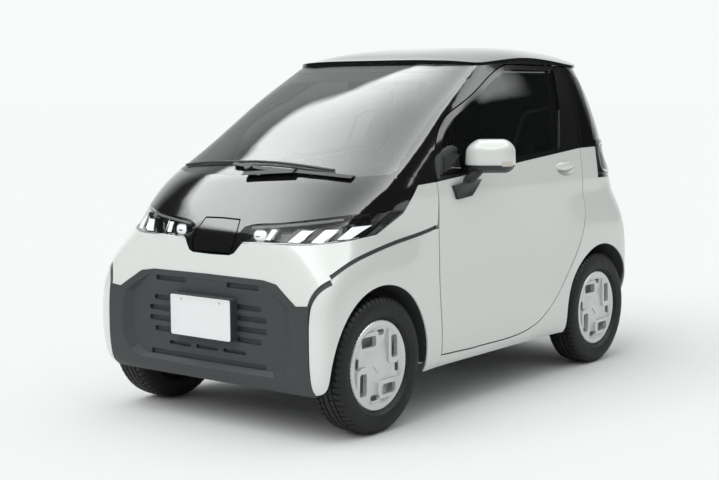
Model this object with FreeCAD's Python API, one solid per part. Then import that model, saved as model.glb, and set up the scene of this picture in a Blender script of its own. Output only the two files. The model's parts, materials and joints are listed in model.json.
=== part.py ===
import FreeCAD
import Part
import math
import os

V = FreeCAD.Vector

# Overall sizes in millimetres. The car's front faces -Y, its left side is +X, the ground is z = 0.
length = 2490.0
width = 1290.0
height = 1550.0
wheelBase = 1780.0
frontOverhang = 370.0
track = 1105.0
tyreRadius = 273.5
tyreWidth = 155.0
rimSeatRadius = 165.0
archRadius = 312.0
linerRadius = 316.0
linerWall = 3.0
archRise = 8.0

# Heights of the body's main lines
bodyBottomZ = 190.0
bonnetEdgeZ = 1000.0
beltFrontZ = 972.0
beltRearZ = 1066.0
glassTopZ = 1466.0
roofFrontZ = 1476.0

# Walls and gaps
panelWall = 6.0
doorWall = 72.0
frameWall = 34.0
glassWall = 4.0
roofWall = 14.0
shutGap = 6.0
seamGap = 3.0
seatGap = 0.3
stripWidth = 17.0
stripDepth = 7.0
insideX = 512.0

# Turning and opening ranges, used to leave room
kingpinX = 505.0
kingpinZ = 190.0
kingpinLean = 10.4
steerLimit = 35.0
tyreClearance = 6.0

frontY = -length / 2
rearY = length / 2
frontAxleY = frontY + frontOverhang
rearAxleY = frontAxleY + wheelBase
wheelX = track / 2
halfWide = width / 2
flareReach = 330.0


def smoothLine(knots):
    """Natural cubic curve through (place, value) pairs, as a function of place."""
    last = len(knots) - 1
    place = [knot[0] for knot in knots]
    value = [knot[1] for knot in knots]
    gap = [place[i + 1] - place[i] for i in range(last)]
    lower = [0.0] * (last + 1)
    right = [0.0] * (last + 1)
    for i in range(1, last):
        change = 6 * ((value[i + 1] - value[i]) / gap[i] - (value[i] - value[i - 1]) / gap[i - 1])
        pivot = 2 * (gap[i - 1] + gap[i]) - gap[i - 1] * lower[i - 1]
        lower[i] = gap[i] / pivot
        right[i] = (change - gap[i - 1] * right[i - 1]) / pivot
    bend = [0.0] * (last + 1)
    for i in range(last - 1, 0, -1):
        bend[i] = right[i] - lower[i] * bend[i + 1]

    def valueAt(t):
        t = min(max(t, place[0]), place[last])
        i = 0
        while i < last - 1 and t > place[i + 1]:
            i += 1
        a = (place[i + 1] - t) / gap[i]
        b = 1 - a
        cubic = (a ** 3 - a) * bend[i] + (b ** 3 - b) * bend[i + 1]
        return a * value[i] + b * value[i + 1] + cubic * gap[i] ** 2 / 6

    return valueAt


# The body's outer form, as level outlines. Each curve gives a value for a height.
# How far the middle of the front and of the rear stand back from the car's ends:
frontSet = smoothLine([
    (190, 60), (215, 37), (250, 24), (300, 17), (400, 14), (500, 17), (560, 27), (620, 44), (680, 62),
    (730, 76), (770, 92), (800, 112), (850, 152), (900, 196), (950, 243), (1000, 294), (1040, 352),
    (1100, 447), (1182, 572), (1306, 775), (1413, 988), (1467, 1112), (1482, 1150)])
rearSet = smoothLine([
    (190, 60), (215, 32), (250, 15), (300, 6), (450, 0), (600, 3), (700, 12), (780, 26), (850, 42),
    (950, 54), (1030, 64), (1111, 82), (1204, 108), (1334, 172), (1422, 238), (1466, 285), (1482, 305)])
# Distances in from the widest line, on the plain side and over the front and rear wheels:
sideIn = smoothLine([
    (190, 57), (215, 39), (250, 29), (300, 25), (400, 28), (500, 35), (600, 39), (700, 38), (800, 33),
    (880, 30), (940, 33), (985, 42), (1030, 51), (1100, 64), (1200, 85), (1300, 107), (1400, 131),
    (1466, 148), (1482, 153)])
flareFrontIn = smoothLine([
    (190, 27), (220, 15), (260, 8), (320, 3), (450, 2), (600, 5), (680, 13), (740, 25), (800, 33),
    (860, 30.5)])
flareRearIn = smoothLine([
    (190, 25), (220, 13), (260, 6), (320, 1), (450, 0), (600, 0), (700, 5), (780, 17), (850, 29),
    (900, 30.5)])
# Where the front corner ends and the rear corner starts, and how square each corner is:
frontEnd = smoothLine([
    (190, -560), (900, -560), (960, -555), (1087, -440), (1293, -180), (1466, 80), (1482, 100)])
rearStart = smoothLine([(190, 700), (900, 700), (1000, 690), (1482, 620)])
frontPower = smoothLine([
    (190, 15), (560, 15), (640, 11), (700, 7.5), (760, 5.4), (850, 4.5), (950, 3.7), (1003, 3.2),
    (1100, 2.7), (1200, 2.5), (1300, 2.5), (1400, 2.6), (1482, 2.8)])
rearPower = smoothLine([(190, 9), (700, 9), (800, 7), (900, 5.4), (1000, 5), (1482, 5)])
frontFlareTopZ = 860.0
rearFlareTopZ = 900.0
# The roof's height down its middle and along its side edges, by place along the car:
roofMid = smoothLine([
    (-110, 1482), (0, 1510), (100, 1527), (250, 1542), (400, 1549), (550, 1550), (700, 1547),
    (850, 1536), (950, 1519), (1000, 1505)])
roofEdge = smoothLine([
    (-110, 1458), (22, 1468), (250, 1484), (364, 1490), (652, 1480), (763, 1470), (937, 1450),
    (1000, 1440)])


def bump(s):
    return 1.0 if s < 0 else math.exp(-s ** 4)


def halfWidth(y, z):
    """Half the body's width at a place and height, with the swell over the wheels."""
    inset = sideIn(z)
    swell = 0.0
    if z < frontFlareTopZ:
        swell += (inset - flareFrontIn(z)) * bump((y - frontAxleY) / flareReach)
    if z < rearFlareTopZ:
        swell += (inset - flareRearIn(z)) * bump((rearAxleY - y) / flareReach)
    return halfWide - inset + swell


def cornerPoint(angle, power):
    """Point on a rounded square of half size 1, in the direction of an angle."""
    c = math.cos(angle)
    s = math.sin(angle)
    r = (abs(c) ** power + abs(s) ** power) ** (-1 / power)
    return r * c, r * s


def bodyPoint(t, z):
    """Point of the outer form: t is 0 at the middle of the front, 1 to 2 along the left side,
    3 at the middle of the rear, and the same below 0 and past 3 on the right side."""
    side = 1.0
    if t < 0:
        side = -1.0
        t = -t
    if t > 3:
        side = -side
        t = 6 - t
    startY = frontEnd(z)
    endY = rearStart(z)
    if t < 1:
        across, along = cornerPoint((1 - t) * math.pi / 2, frontPower(z))
        y = startY - (startY - frontY - frontSet(z)) * along
    elif t <= 2:
        across = 1.0
        y = startY + (endY - startY) * (t - 1)
    else:
        across, along = cornerPoint((t - 2) * math.pi / 2, rearPower(z))
        y = endY + (rearY - rearSet(z) - endY) * along
    return V(side * halfWidth(y, z) * across, y, z)


def skinPoint(t, z, lift):
    """Point at a distance out from the outer form."""
    point = bodyPoint(t, z)
    if lift == 0:
        return point
    stepT = 0.002
    stepZ = 1.0
    along = bodyPoint(t + stepT, z) - bodyPoint(t - stepT, z)
    up = bodyPoint(t, z + stepZ) - bodyPoint(t, z - stepZ)
    out = along.cross(up)
    out.normalize()
    return point + out * lift


def surfaceThrough(rows):
    surface = Part.BSplineSurface()
    surface.interpolate(rows)
    return surface


def closedSlab(outerRows, innerRows):
    """Solid between two like grids of points, with ruled edges."""
    outer = surfaceThrough(outerRows)
    inner = surfaceThrough(innerRows)
    faces = [outer.toShape(), inner.toShape()]
    u0, u1, v0, v1 = outer.bounds()
    s0, s1, w0, w1 = inner.bounds()
    edgePairs = (
        (outer.uIso(u0), inner.uIso(s0)), (outer.uIso(u1), inner.uIso(s1)),
        (outer.vIso(v0), inner.vIso(w0)), (outer.vIso(v1), inner.vIso(w1)))
    for outerEdge, innerEdge in edgePairs:
        faces.append(Part.makeRuledSurface(outerEdge.toShape(), innerEdge.toShape()))
    shell = Part.Shell(faces)
    shell.sewShape()
    solid = Part.Solid(shell)
    if solid.Volume < 0:
        solid.reverse()
    return solid


cornerStations = [0, 0.11, 0.22, 0.31, 0.38, 0.43, 0.47, 0.5, 0.53, 0.57, 0.62, 0.69, 0.78, 0.88, 1.0]
sideStations = [1.12, 1.25, 1.4, 1.55, 1.7, 1.85]
quarterStations = cornerStations + sideStations + [3 - t for t in reversed(cornerStations)]
roundStations = [-t for t in reversed(quarterStations[1:])] + quarterStations
roundStations += [6 - t for t in reversed(quarterStations[:-1])]
heightStations = [
    190, 203, 220, 250, 290, 340, 400, 460, 520, 580, 630, 675, 715, 750, 780, 810, 840, 870, 900, 930,
    960, 990, 1020, 1060, 1110, 1170, 1230, 1290, 1350, 1410, 1450, 1482]


def between(stations, low, high):
    step = (high - low) * 0.004
    inner = [s for s in stations if low + step < s < high - step]
    return [low] + inner + [high]


def bodySlab(t0, t1, z0, z1, outerLift, innerLift):
    ts = between(roundStations, t0, t1)
    zs = between(heightStations, z0, z1)
    outerRows = [[skinPoint(t, z, outerLift) for z in zs] for t in ts]
    innerRows = [[skinPoint(t, z, innerLift) for z in zs] for t in ts]
    return closedSlab(outerRows, innerRows)


def outlineFace(items, place, grow=0.0):
    """Face from corner points; a nested list of points is a smooth curve through them."""
    edges = []
    first = None
    previous = None
    for item in items:
        run = [place(*p) for p in item] if isinstance(item, list) else [place(*item)]
        if previous is not None and previous.distanceToPoint(run[0]) > 1e-6:
            edges.append(Part.LineSegment(previous, run[0]).toShape())
        if first is None:
            first = run[0]
        if len(run) > 1:
            curve = Part.BSplineCurve()
            curve.interpolate(run)
            edges.append(curve.toShape())
        previous = run[-1]
    if previous.distanceToPoint(first) > 1e-6:
        edges.append(Part.LineSegment(previous, first).toShape())
    face = Part.Face(Part.Wire(edges))
    return grownFace(face, grow) if grow else face


def grownFace(face, grow):
    """Flat face grown by a distance, its moved curves redrawn as plain splines."""
    edges = []
    for edge in face.makeOffset2D(grow, 0).OuterWire.OrderedEdges:
        if "Offset" in edge.Curve.TypeId:
            curve = Part.BSplineCurve()
            curve.interpolate(edge.discretize(Number=25))
            edge = curve.toShape()
        edges.append(edge)
    return Part.Face(Part.Wire(edges))


def sidePrism(items, x0, x1, grow=0.0):
    return outlineFace(items, lambda y, z: V(x0, y, z), grow).extrude(V(x1 - x0, 0, 0))


def frontPrism(items, y0, y1, grow=0.0):
    return outlineFace(items, lambda x, z: V(x, y0, z), grow).extrude(V(0, y1 - y0, 0))


def box(x0, x1, y0, y1, z0, z1):
    return Part.makeBox(x1 - x0, y1 - y0, z1 - z0, V(x0, y0, z0))


def rod(start, end, radius):
    a = V(*start)
    b = V(*end)
    return Part.makeCylinder(radius, (b - a).Length, a, b - a)


def mirrored(shape):
    return shape.mirror(V(0, 0, 0), V(1, 0, 0))


def withMirror(shape):
    return Part.makeCompound([shape, mirrored(shape)])


def mirrorOutline(items):
    """Left half of a front outline, given from the middle line to the middle line, and its mirror."""
    other = []
    for item in reversed(items):
        if isinstance(item, list):
            other.append([(-x, z) for x, z in reversed(item)])
        elif item[0] != 0:
            other.append((-item[0], item[1]))
    return items + other


def offsetLine(points, distance):
    """Points of an open line moved to its left by a distance, mitred at the turns."""
    moved = []
    for i, (a, b) in enumerate(points):
        normals = []
        for j in (i - 1, i):
            if 0 <= j < len(points) - 1:
                da = points[j + 1][0] - points[j][0]
                db = points[j + 1][1] - points[j][1]
                size = math.hypot(da, db)
                normals.append((-db / size, da / size))
        na = sum(n[0] for n in normals) / len(normals)
        nb = sum(n[1] for n in normals) / len(normals)
        stretch = distance / (na * na + nb * nb)
        moved.append((a + na * stretch, b + nb * stretch))
    return moved


# Outlines on the body, as (y, z) seen from the side or (x, z) seen from the front
doorFrontY = -455.0
doorRearY = 768.0
stripCornerX = 552.0
lampTopZ = 876.0
farFront = frontY - 60
farRear = rearY + 60
farSide = 800.0

doorOutline = [
    (doorFrontY - 9, beltFrontZ), (doorFrontY + 11, 650), (doorFrontY + 13, 250),
    [(-200, 243), (156, 247), (341, 283), (498, 375), (627, 517), (722, 676), (757, 775)],
    (748, 893), (doorRearY, beltRearZ)]
doorFrameOutline = [
    (doorFrontY - 9, beltFrontZ), (doorRearY, beltRearZ), [(781, 1200), (784, 1300), (776, 1452)],
    (700, 1456), [(236, 1459), (60, 1398), (-46, 1346), (-200, 1283), (-338, 1223), (-425, 1130),
                  (-463, 1012)]]
doorWindowOutline = [
    (-436, 992), (-300, 998), (99, 1041), (575, 1074), [(640, 1250), (655, 1438)],
    [(262, 1443), (90, 1383), (-26, 1330), (-180, 1264), (-312, 1204), (-395, 1112)]]
pillarFlange = 38.0
quarterWindowOutline = [
    (794, beltRearZ + 8), (924, beltRearZ + 14), (932, 1200), (900, 1390), (806, 1434), (812, 1300),
    (808, 1200)]
windscreenOutline = mirrorOutline([
    (0, bonnetEdgeZ + 4), [(300, bonnetEdgeZ + 4), (480, 1008), (566, 1016)],
    [(572, 1030), (556, 1089), (520, 1294), (492, 1440)], (486, glassTopZ), (0, glassTopZ)])
lampLowLine = [(158, 753), (338, 760), (466, 763), (545, 771), (594, 783), (609, 793)]
lampOutline = [
    lampLowLine, (640, 800), (640, lampTopZ + 4), (607, lampTopZ), (573, 873),
    [(496, 862), (388, 847), (280, 834), (166, 822), (136, 812)], [(126, 792), (130, 766), (158, 753)]]
darkOutline = mirrorOutline([
    (0, 701), (100, 703), (124, 712), (154, 750), (172, 780), (338, 790), (466, 802), (545, 812),
    (594, 824), (650, 832), (650, bonnetEdgeZ), (0, bonnetEdgeZ)])
lidOutline = mirrorOutline([
    (0, 712), (94, 712), (104, 724), (112, 760), (104, 800), (92, 836), (0, 838)])
grilleOutline = mirrorOutline([
    (0, 150), (stripCornerX, 150), (stripCornerX - 4, 545), (484, 540), (372, 612), (300, 623), (0, 625)])
hatchOutline = mirrorOutline([
    (0, 925), (420, 925), (428, 935), (428, 1106), (470, 1130), (462, 1300), (425, 1426), (0, 1436)])
tailLampOutline = [(910, 916), (937, 1110), (farRear, 1110), (farRear, 916)]
tailLampInnerX = 434.0
beltLine = [(-2000, 960), (-602, 966), (doorFrontY - 9, beltFrontZ), (doorRearY, beltRearZ),
            (2000, beltRearZ + 10)]
rearSeamX = 470.0
rearBumperTopZ = 543.0


def darkSide(shift):
    """Block ahead of the line where the bonnet meets the white wing."""
    line = [(farFront, 600), (-712 + shift, 861 - shift), (-600 + shift, 966 - shift), (-600 + shift, 1100)]
    return sidePrism(line + [(farFront, 1100)], -900, 900)


def aboveBelt(shift):
    line = [(y, z + shift) for y, z in beltLine]
    return sidePrism(line + [(2000, 1900), (-2000, 1900)], -900, 900)


def belowBelt(shift):
    line = [(y, z + shift) for y, z in beltLine]
    return sidePrism(line + [(2000, 0), (-2000, 0)], -900, 900)


def flareTool(shift):
    """Block that holds all of the skin under the dark strip on the left, moved out by a shift."""
    line = [(doorFrontY - 30, 778 + shift), (-568, 764 + shift), (-739, 745 + shift), (-926, 716 + shift),
            (-1056, 684 + shift), (-1150, 640 + shift)]
    rearEnd = doorFrontY + 60
    outline = [line, (-1150, 100), (rearEnd, 100), (rearEnd, line[0][1])]
    rear = sidePrism(outline, 300, farSide)
    corner = stripCornerX - shift
    turn = [(corner + 2, 530 + shift), (corner + 16, 575 + shift), (corner + 40, 608 + shift),
            (640, 640 + shift)]
    outline = [(corner, 100), (corner, 480), turn, (farSide, 640 + shift), (farSide, 100)]
    front = frontPrism(outline, farFront, -1150)
    return rear.fuse(front)


def wheelSpace(axleY, radius, x0, x1):
    """Arch-shaped space over one axle."""
    centreZ = tyreRadius + archRise
    arch = Part.makeCylinder(radius, x1 - x0, V(x0, axleY, centreZ), V(1, 0, 0))
    low = box(x0, x1, axleY - radius, axleY + radius, 50, centreZ)
    return arch.fuse(low)


def steeredTyreSpaces(grow):
    """Room that the left front tyre takes at each of several steering angles."""
    reach = tyreWidth / 2 + grow
    spaces = []
    for share in (-1, -0.86, -0.72, -0.58, -0.42, -0.2, 0.2):
        space = Part.makeCylinder(tyreRadius + grow, 2 * reach, V(wheelX - reach, frontAxleY, tyreRadius), V(1, 0, 0))
        lean = V(-math.tan(math.radians(kingpinLean)), 0, 1)
        space.rotate(V(kingpinX, frontAxleY, kingpinZ), lean, share * steerLimit)
        spaces.append(space)
    return spaces


def bodyCore(lift):
    """Solid of everything inside the outer form, at a distance in from it."""
    ts = between(quarterStations, 0.06, 2.94)
    left = [[skinPoint(t, z, lift) for z in heightStations] for t in ts]
    right = [[skinPoint(-t, z, lift) for z in heightStations] for t in ts]
    return closedSlab(left, right)


def roofHeight(x, y):
    middle = roofMid(y)
    return middle - (middle - roofEdge(y)) * (abs(x) / 500) ** 4


def roofSheet(outerLift, innerLift):
    """Wide sheet that follows the roof's height, between two distances from it."""
    layers = []
    for lift in (outerLift, innerLift):
        xs = [i * 35 for i in range(-16, 17)]
        ys = [-190 + j * 60 for j in range(21)]
        layers.append([[V(x, y, roofHeight(x, y) + lift) for y in ys] for x in xs])
    return closedSlab(layers[0], layers[1])


def roofPlan():
    """The roof's edge from above: where its underside meets the body's form, drawn out at the rear."""
    plan = []
    for t in between(roundStations, -3, 3):
        point = bodyPoint(t, roofFrontZ)
        for i in range(8):
            point = bodyPoint(t, roofHeight(point.x, point.y) - roofWall)
        drawn = point.y
        if drawn > roofDrawY:
            drawn = roofDrawY + (drawn - roofDrawY) * 1.12
        plan.append((point.x, drawn))
    return plan


roofDrawY = 620.0


def makeRoof():
    plan = outlineFace([roofPlan()], lambda x, y: V(x, y, 1300))
    return roofSheet(0, -roofWall).common(plan.extrude(V(0, 0, 400)))


def makeNosePanel():
    """White nose and upper wings: all of the front skin outside the dark parts and the wheel flares."""
    skin = bodySlab(-1.28, 1.28, bodyBottomZ, 975, 0, -panelWall)
    flareWide = flareTool(stripWidth)
    return skin.cut([darkTool, lampHoles, grilleHole, flareWide, mirrored(flareWide), doorHoles,
                     aboveBelt(0), box(-900, 900, doorFrontY - 12, 900, 100, 1100)])


def makeFrontFlares():
    skin = bodySlab(0.4, 1.28, bodyBottomZ + 4, 800, 0, -panelWall).common(flareTool(0))
    arch = wheelSpace(frontAxleY, archRadius, 400, farSide)
    return withMirror(skin.cut([doorHoles, arch, box(300, 900, doorFrontY + 3, 900, 100, 1100)]))


def makeBonnet():
    skin = bodySlab(-1.1, 1.1, 696, bonnetEdgeZ, 0, -panelWall)
    return skin.common(darkTool).cut([lampHoles, frontPrism(lidOutline, farFront, -1000, shutGap)])


def makeChargeLid():
    return bodySlab(-0.3, 0.3, 700, 850, 0, -4).common(frontPrism(lidOutline, farFront, -1000))


def lampTool(grow, shift):
    return frontPrism(lampOutline, farFront, -560, grow).common(darkSide(shift))


def makeHeadlamps():
    return withMirror(bodySlab(0.1, 1.1, 740, 900, 0, -4).common(lampTool(0, 0)))


def makeLampHousings():
    """Dark tray behind each lens, with a round lamp, a small block and three slanted blocks."""
    depth = lampDepth
    shell = bodySlab(0.1, 1.1, 740, 900, -4 - seatGap, -depth).common(lampTool(-0.5, -0.5))
    room = bodySlab(0.1, 1.1, 735, 905, 0, 4 - depth).common(lampTool(-4, -4))
    tray = shell.cut(room)
    blocks = bodySlab(0.1, 1.1, 745, 895, -12, 2 - depth)
    shapes = [rod((212, -1210, 796), (212, -1090, 796), 18)]
    for low, high, shift in ((254, 276, 10), (352, 400, 34), (444, 484, 24)):
        outline = [(low, 779), (high, 779), (high + shift, 817), (low + shift, 817)]
        shapes.append(frontPrism(outline, -1250, -960))
    sideOutline = [(-1000, 790), (-925, 790), (-935, 832), (-985, 828)]
    shapes.append(sidePrism(sideOutline, 520, 700))
    return withMirror(tray.fuse([blocks.common(shape) for shape in shapes]))


lampDepth = 38.0


def softBox(x0, x1, y0, y1, z0, z1, radius, along):
    """Box whose four edges along one axis are rounded."""
    block = box(x0, x1, y0, y1, z0, z1)
    chosen = [edge for edge in block.Edges if abs(edge.tangentAt(0).dot(along)) > 0.99]
    return block.makeFillet(radius, chosen)


tubMouth = [(0, 610), (348, 606), (468, 528), (482, 345), (444, 262), (388, 234), (0, 228)]
tubFloor = [(0, 603), (322, 600), (418, 530), (424, 350), (398, 298), (352, 270), (0, 266)]
tubMouthY = frontY + 6
tubFloorY = frontY + 38
slotDepth = 12.0
plateWide = 330.0
plateHigh = 165.0
plateZ = 454.0


def grilleSlots():
    """Rounded slots beside the plate, under it, over it, and the long one above the lower lip."""
    places = []
    for row, reach in enumerate((295, 324, 324, 295)):
        middle = plateZ + 54 - row * 43.5
        places.append((plateWide / 2 - 2, reach, middle - 11, middle + 11, 9))
    places += [(-61, 61, 319, 334, 6), (90, 212, 319, 334, 6), (114, 282, 579, 600, 4)]
    slots = []
    for x0, x1, z0, z1, radius in places:
        slot = softBox(x0, x1, tubFloorY - 60, tubFloorY + slotDepth, z0, z1, radius, V(0, 1, 0))
        slots += [slot, mirrored(slot)]
    slots.append(box(-318, 318, tubFloorY - 30, tubFloorY + slotDepth, 270, 292))
    return slots


def makeFrontGrille():
    """Dark lower front: a stepped tub with slots and the plate's carrier, and the strips over the wheels."""
    face = bodySlab(-0.9, 0.9, bodyBottomZ + 2, 640, 2, -30).common(
        frontPrism(grilleOutline, farFront, -1120, -seatGap))
    for space in steeredTyreSpaces(tyreClearance):
        face = face.cut(space).cut(mirrored(space))
    floor = outlineFace(mirrorOutline(tubFloor), lambda x, z: V(x, tubFloorY, z))
    mouth = outlineFace(mirrorOutline(tubMouth), lambda x, z: V(x, tubMouthY, z))
    outer = outlineFace(mirrorOutline(tubMouth), lambda x, z: V(x, tubMouthY - 40, z))
    tub = Part.makeLoft([mouth.OuterWire, floor.OuterWire], True, True)
    face = face.fuse(floor.extrude(V(0, slotDepth + 5, 0)))
    face = face.cut([tub, outer.extrude(V(0, 40, 0))] + grilleSlots())
    carrier = softBox(-plateWide / 2 - 3, plateWide / 2 + 3, frontY, tubFloorY + 4,
                      plateZ - plateHigh / 2 - 3, plateZ + plateHigh / 2 + 3, 9, V(0, 1, 0))
    for x in (-plateScrewX, plateScrewX):
        screw = Part.makeCylinder(3, 20, V(x, frontY - 1, plateScrewZ), V(0, 1, 0))
        carrier = carrier.cut(screw)
    seat = box(-plateWide / 2 - 0.3, plateWide / 2 + 0.3, frontY - 1, frontY + plateThick,
               plateZ - plateHigh / 2 - 0.3, plateZ + plateHigh / 2 + 0.3)
    strip = bodySlab(0.3, 1.25, bodyBottomZ + 2, 800, -stripDepth, -stripDepth - 8)
    strip = strip.common(flareTool(stripWidth - seatGap).cut(flareTool(seatGap)))
    strip = strip.cut([box(300, 900, doorFrontY - 26, 900, 100, 1100),
                       wheelSpace(frontAxleY, archRadius, 400, farSide)])
    return face.fuse([strip, mirrored(strip), carrier.cut(seat)])


plateThick = 2.0
plateScrewX = 105.0
plateScrewZ = plateZ + 62.0


def makeWindscreen():
    return bodySlab(-1.15, 1.15, 995, glassTopZ + 2, -1, -1 - glassWall).common(
        frontPrism(windscreenOutline, farFront, 300)).cut(roofSheet(200, -roofWall - seatGap))


def headerSlab(grow):
    """Cross rail above the windscreen, or the room that it needs."""
    return bodySlab(-1.08, 1.08, headerLowZ - grow, 1474, -7 + grow, -frameWall - grow)


def makeScreenTrim():
    """Inner pillar trims and scuttle flange, behind the edge of the windscreen."""
    ring = bodySlab(-1.15, 1.15, 995, headerLowZ - seatGap, -1 - glassWall - seatGap, -frameWall + 2)
    ring = ring.common(frontPrism(windscreenOutline, farFront, 300, -seatGap))
    ring = ring.cut(frontPrism(windscreenOutline, farFront, 310, -pillarFlange)).cut(headerSlab(seatGap))
    frameHole = sidePrism(doorFrameOutline, 300, farSide, shutGap)
    return ring.cut(frameHole).cut(mirrored(frameHole))


headerLowZ = 1436.0


def makeCabFrame():
    """Pillars, roof rails, header, door jambs and sills, as one frame."""
    upper = bodySlab(-3, 3, 955, 1540, 0, -frameWall)
    hatchHole = frontPrism(hatchOutline, 600, farRear, shutGap)
    tailHole = sidePrism(tailLampOutline, tailLampInnerX - 4, farSide)
    quarterHole = sidePrism(quarterWindowOutline, 300, farSide, seatGap)
    glassHole = frontPrism(windscreenOutline, farFront, 300, seatGap)
    frameHole = sidePrism(doorFrameOutline, 300, farSide, shutGap)
    cuts = [glassHole, belowBelt(seatGap), hatchHole, darkTool]
    for hole in (frameHole, quarterHole, tailHole):
        cuts.append(hole)
        cuts.append(mirrored(hole))
    upper = upper.cut(cuts)
    header = headerSlab(0)
    ring = sidePrism(doorOutline, 380, farSide, 42)
    ring = ring.cut(sidePrism(doorOutline, 370, farSide + 10, shutGap + 2))
    jamb = bodySlab(0.85, 2.3, 197, 1078, -stripDepth - 9, -doorWall).common(ring)
    room = linerRadius + linerWall + seatGap
    jamb = jamb.cut([wheelSpace(frontAxleY, room, 200, farSide), wheelSpace(rearAxleY, room, 200, farSide)])
    jamb = jamb.cut(frameHole).cut(glassHole)
    sill = box(insideX + seatGap, 565, -430, 540, 205, 231.7)
    return upper.fuse([header, jamb, mirrored(jamb), sill, mirrored(sill)]).cut(
        roofSheet(200, -roofWall - seatGap))


def makeQuarterWindows():
    pane = bodySlab(1.9, 2.6, 1060, 1460, -1, -6).common(sidePrism(quarterWindowOutline, 300, farSide))
    return withMirror(pane)


def makeQuarterPanel():
    """White rear side: sill, rear wheel flare and rear corner."""
    skin = bodySlab(0.9, 3.0, bodyBottomZ + 4, 1078, 0, -panelWall)
    frameHole = sidePrism(doorFrameOutline, 300, farSide, shutGap)
    return skin.cut([doorHoles, box(-rearSeamX, rearSeamX, 600, farRear, 100, 1200), aboveBelt(0), frameHole,
                     sidePrism(tailLampOutline, tailLampInnerX - 4, farSide),
                     frontPrism(hatchOutline, 600, farRear, shutGap),
                     wheelSpace(rearAxleY, archRadius, 400, farSide),
                     box(300, 900, -2000, doorFrontY + 5, 100, 1200)])


def makeTailPanel():
    inner = rearSeamX - 1
    skin = bodySlab(2.2, 3.8, bodyBottomZ + 4, 930, 0, -panelWall)
    return skin.common(box(-inner, inner, 700, farRear, rearBumperTopZ + seamGap, 917))


def makeRearBumper():
    inner = rearSeamX - 1
    skin = bodySlab(2.2, 3.8, bodyBottomZ + 4, 600, 0, -10)
    return skin.common(box(-inner, inner, 700, farRear, 100, rearBumperTopZ))


def makeTailLamps():
    room = tailLampInnerX + seatGap
    outline = [(910 + seatGap, 918), (937 + seatGap, 1109), (farRear, 1109), (farRear, 918)]
    lamp = bodySlab(2.05, 2.9, 900, 1130, 0, -40).common(sidePrism(outline, room, farSide))
    outside = softBox(474, 640, 700, farRear, 932, 1101, 50, V(0, 1, 0))
    inside = softBox(500, 588, 690, farRear + 10, 962, 1071, 32, V(0, 1, 0))
    loop = bodySlab(2.05, 2.9, 900, 1130, 5, -5).common(outside.cut(inside)).common(
        sidePrism([(916, 900), (940, 1130), (farRear, 1130), (farRear, 900)], room, farSide))
    return withMirror(lamp.fuse(loop))


def makeHatch():
    return bodySlab(2.2, 3.8, 915, 1450, 0, -24).common(frontPrism(hatchOutline, 700, farRear))


def makeDoor():
    door = bodySlab(0.85, 2.2, 236, 1078, 0, -doorWall).common(sidePrism(doorOutline, 380, farSide))
    dish = ellipsoid(handleX + 6, handleY, handleZ, 30, 86, 37)
    grip = ellipsoid(handleX - 5, handleY - 4, handleZ + 10, 13, 84, 21)
    return door.cut(dish).fuse(grip)


def ellipsoid(x, y, z, a, b, c):
    matrix = FreeCAD.Matrix()
    matrix.scale(a, b, c)
    ball = Part.makeSphere(1).transformGeometry(matrix)
    ball.translate(V(x, y, z))
    return ball


handleX = 607.0
handleY = 607.0
handleZ = 978.0


def makeDoorFrame():
    frame = bodySlab(0.8, 2.35, 955, 1478, 0, -24).common(sidePrism(doorFrameOutline, 300, farSide))
    groove = bodySlab(0.8, 2.35, 950, 1480, -4.7, -9.3)
    groove = groove.common(sidePrism(doorWindowOutline, 300, farSide, 8.3))
    return frame.cut([sidePrism(doorWindowOutline, 300, farSide), groove, belowBelt(seatGap)])


def makeDoorGlass():
    return bodySlab(0.8, 2.3, 955, 1478, -5, -9).common(sidePrism(doorWindowOutline, 300, farSide, 8))


mirrorLength = 205.0
mirrorDepth = 86.0
mirrorHigh = 146.0
mirrorTurn = 33.0
mirrorX = 700.0
mirrorY = -210.0
mirrorLowZ = 996.0


def makeMirror():
    """Rounded housing with a glass recess, on a neck that stands on a dark base on the door."""
    housing = Part.makeBox(mirrorLength, mirrorDepth, mirrorHigh, V(-mirrorLength / 2, -mirrorDepth / 2, 0))
    ends = [edge for edge in housing.Edges if abs(edge.tangentAt(0).z) > 0.99 and edge.CenterOfMass.y < 0]
    housing = housing.makeFillet(46, ends)
    housing = housing.makeFillet(30, [e for e in housing.Edges if e.CenterOfMass.y < mirrorDepth / 2 - 1
                                      and abs(e.CenterOfMass.z - mirrorHigh / 2) > mirrorHigh / 2 - 1])
    glass = softBox(-mirrorLength / 2 + 12, mirrorLength / 2 - 12, mirrorDepth / 2 - 9, mirrorDepth, 14,
                    mirrorHigh - 14, 24, V(0, 1, 0))
    housing = housing.cut(glass)
    housing.rotate(V(0, 0, 0), V(0, 0, 1), mirrorTurn)
    housing.translate(V(mirrorX, mirrorY, mirrorLowZ))
    housing = housing.cut(bodySlab(0.8, 2.35, 955, 1478, 9, -60))
    frameSpace = bodySlab(0.8, 2.35, 955, 1478, seatGap, -24)
    base = bodySlab(0.9, 1.9, 870, 990, 16, seatGap).common(sidePrism(mirrorBase, 500, farSide))
    base = base.cut(frameSpace)
    neck = rod((604, -262, 948), (672, -230, mirrorLowZ + 30), 24)
    neck = neck.cut(bodySlab(0.9, 1.9, 860, 1060, seatGap, -90)).cut(frameSpace)
    pieces = sorted(neck.Solids, key=lambda piece: piece.CenterOfMass.x)
    return housing.fuse([base, pieces[-1]])


mirrorBase = [
    (-403, 940), (-368, 957), (-269, 974), (-140, 975), (-134, 950), (-232, 897), (-290, 886), (-345, 889)]


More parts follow.
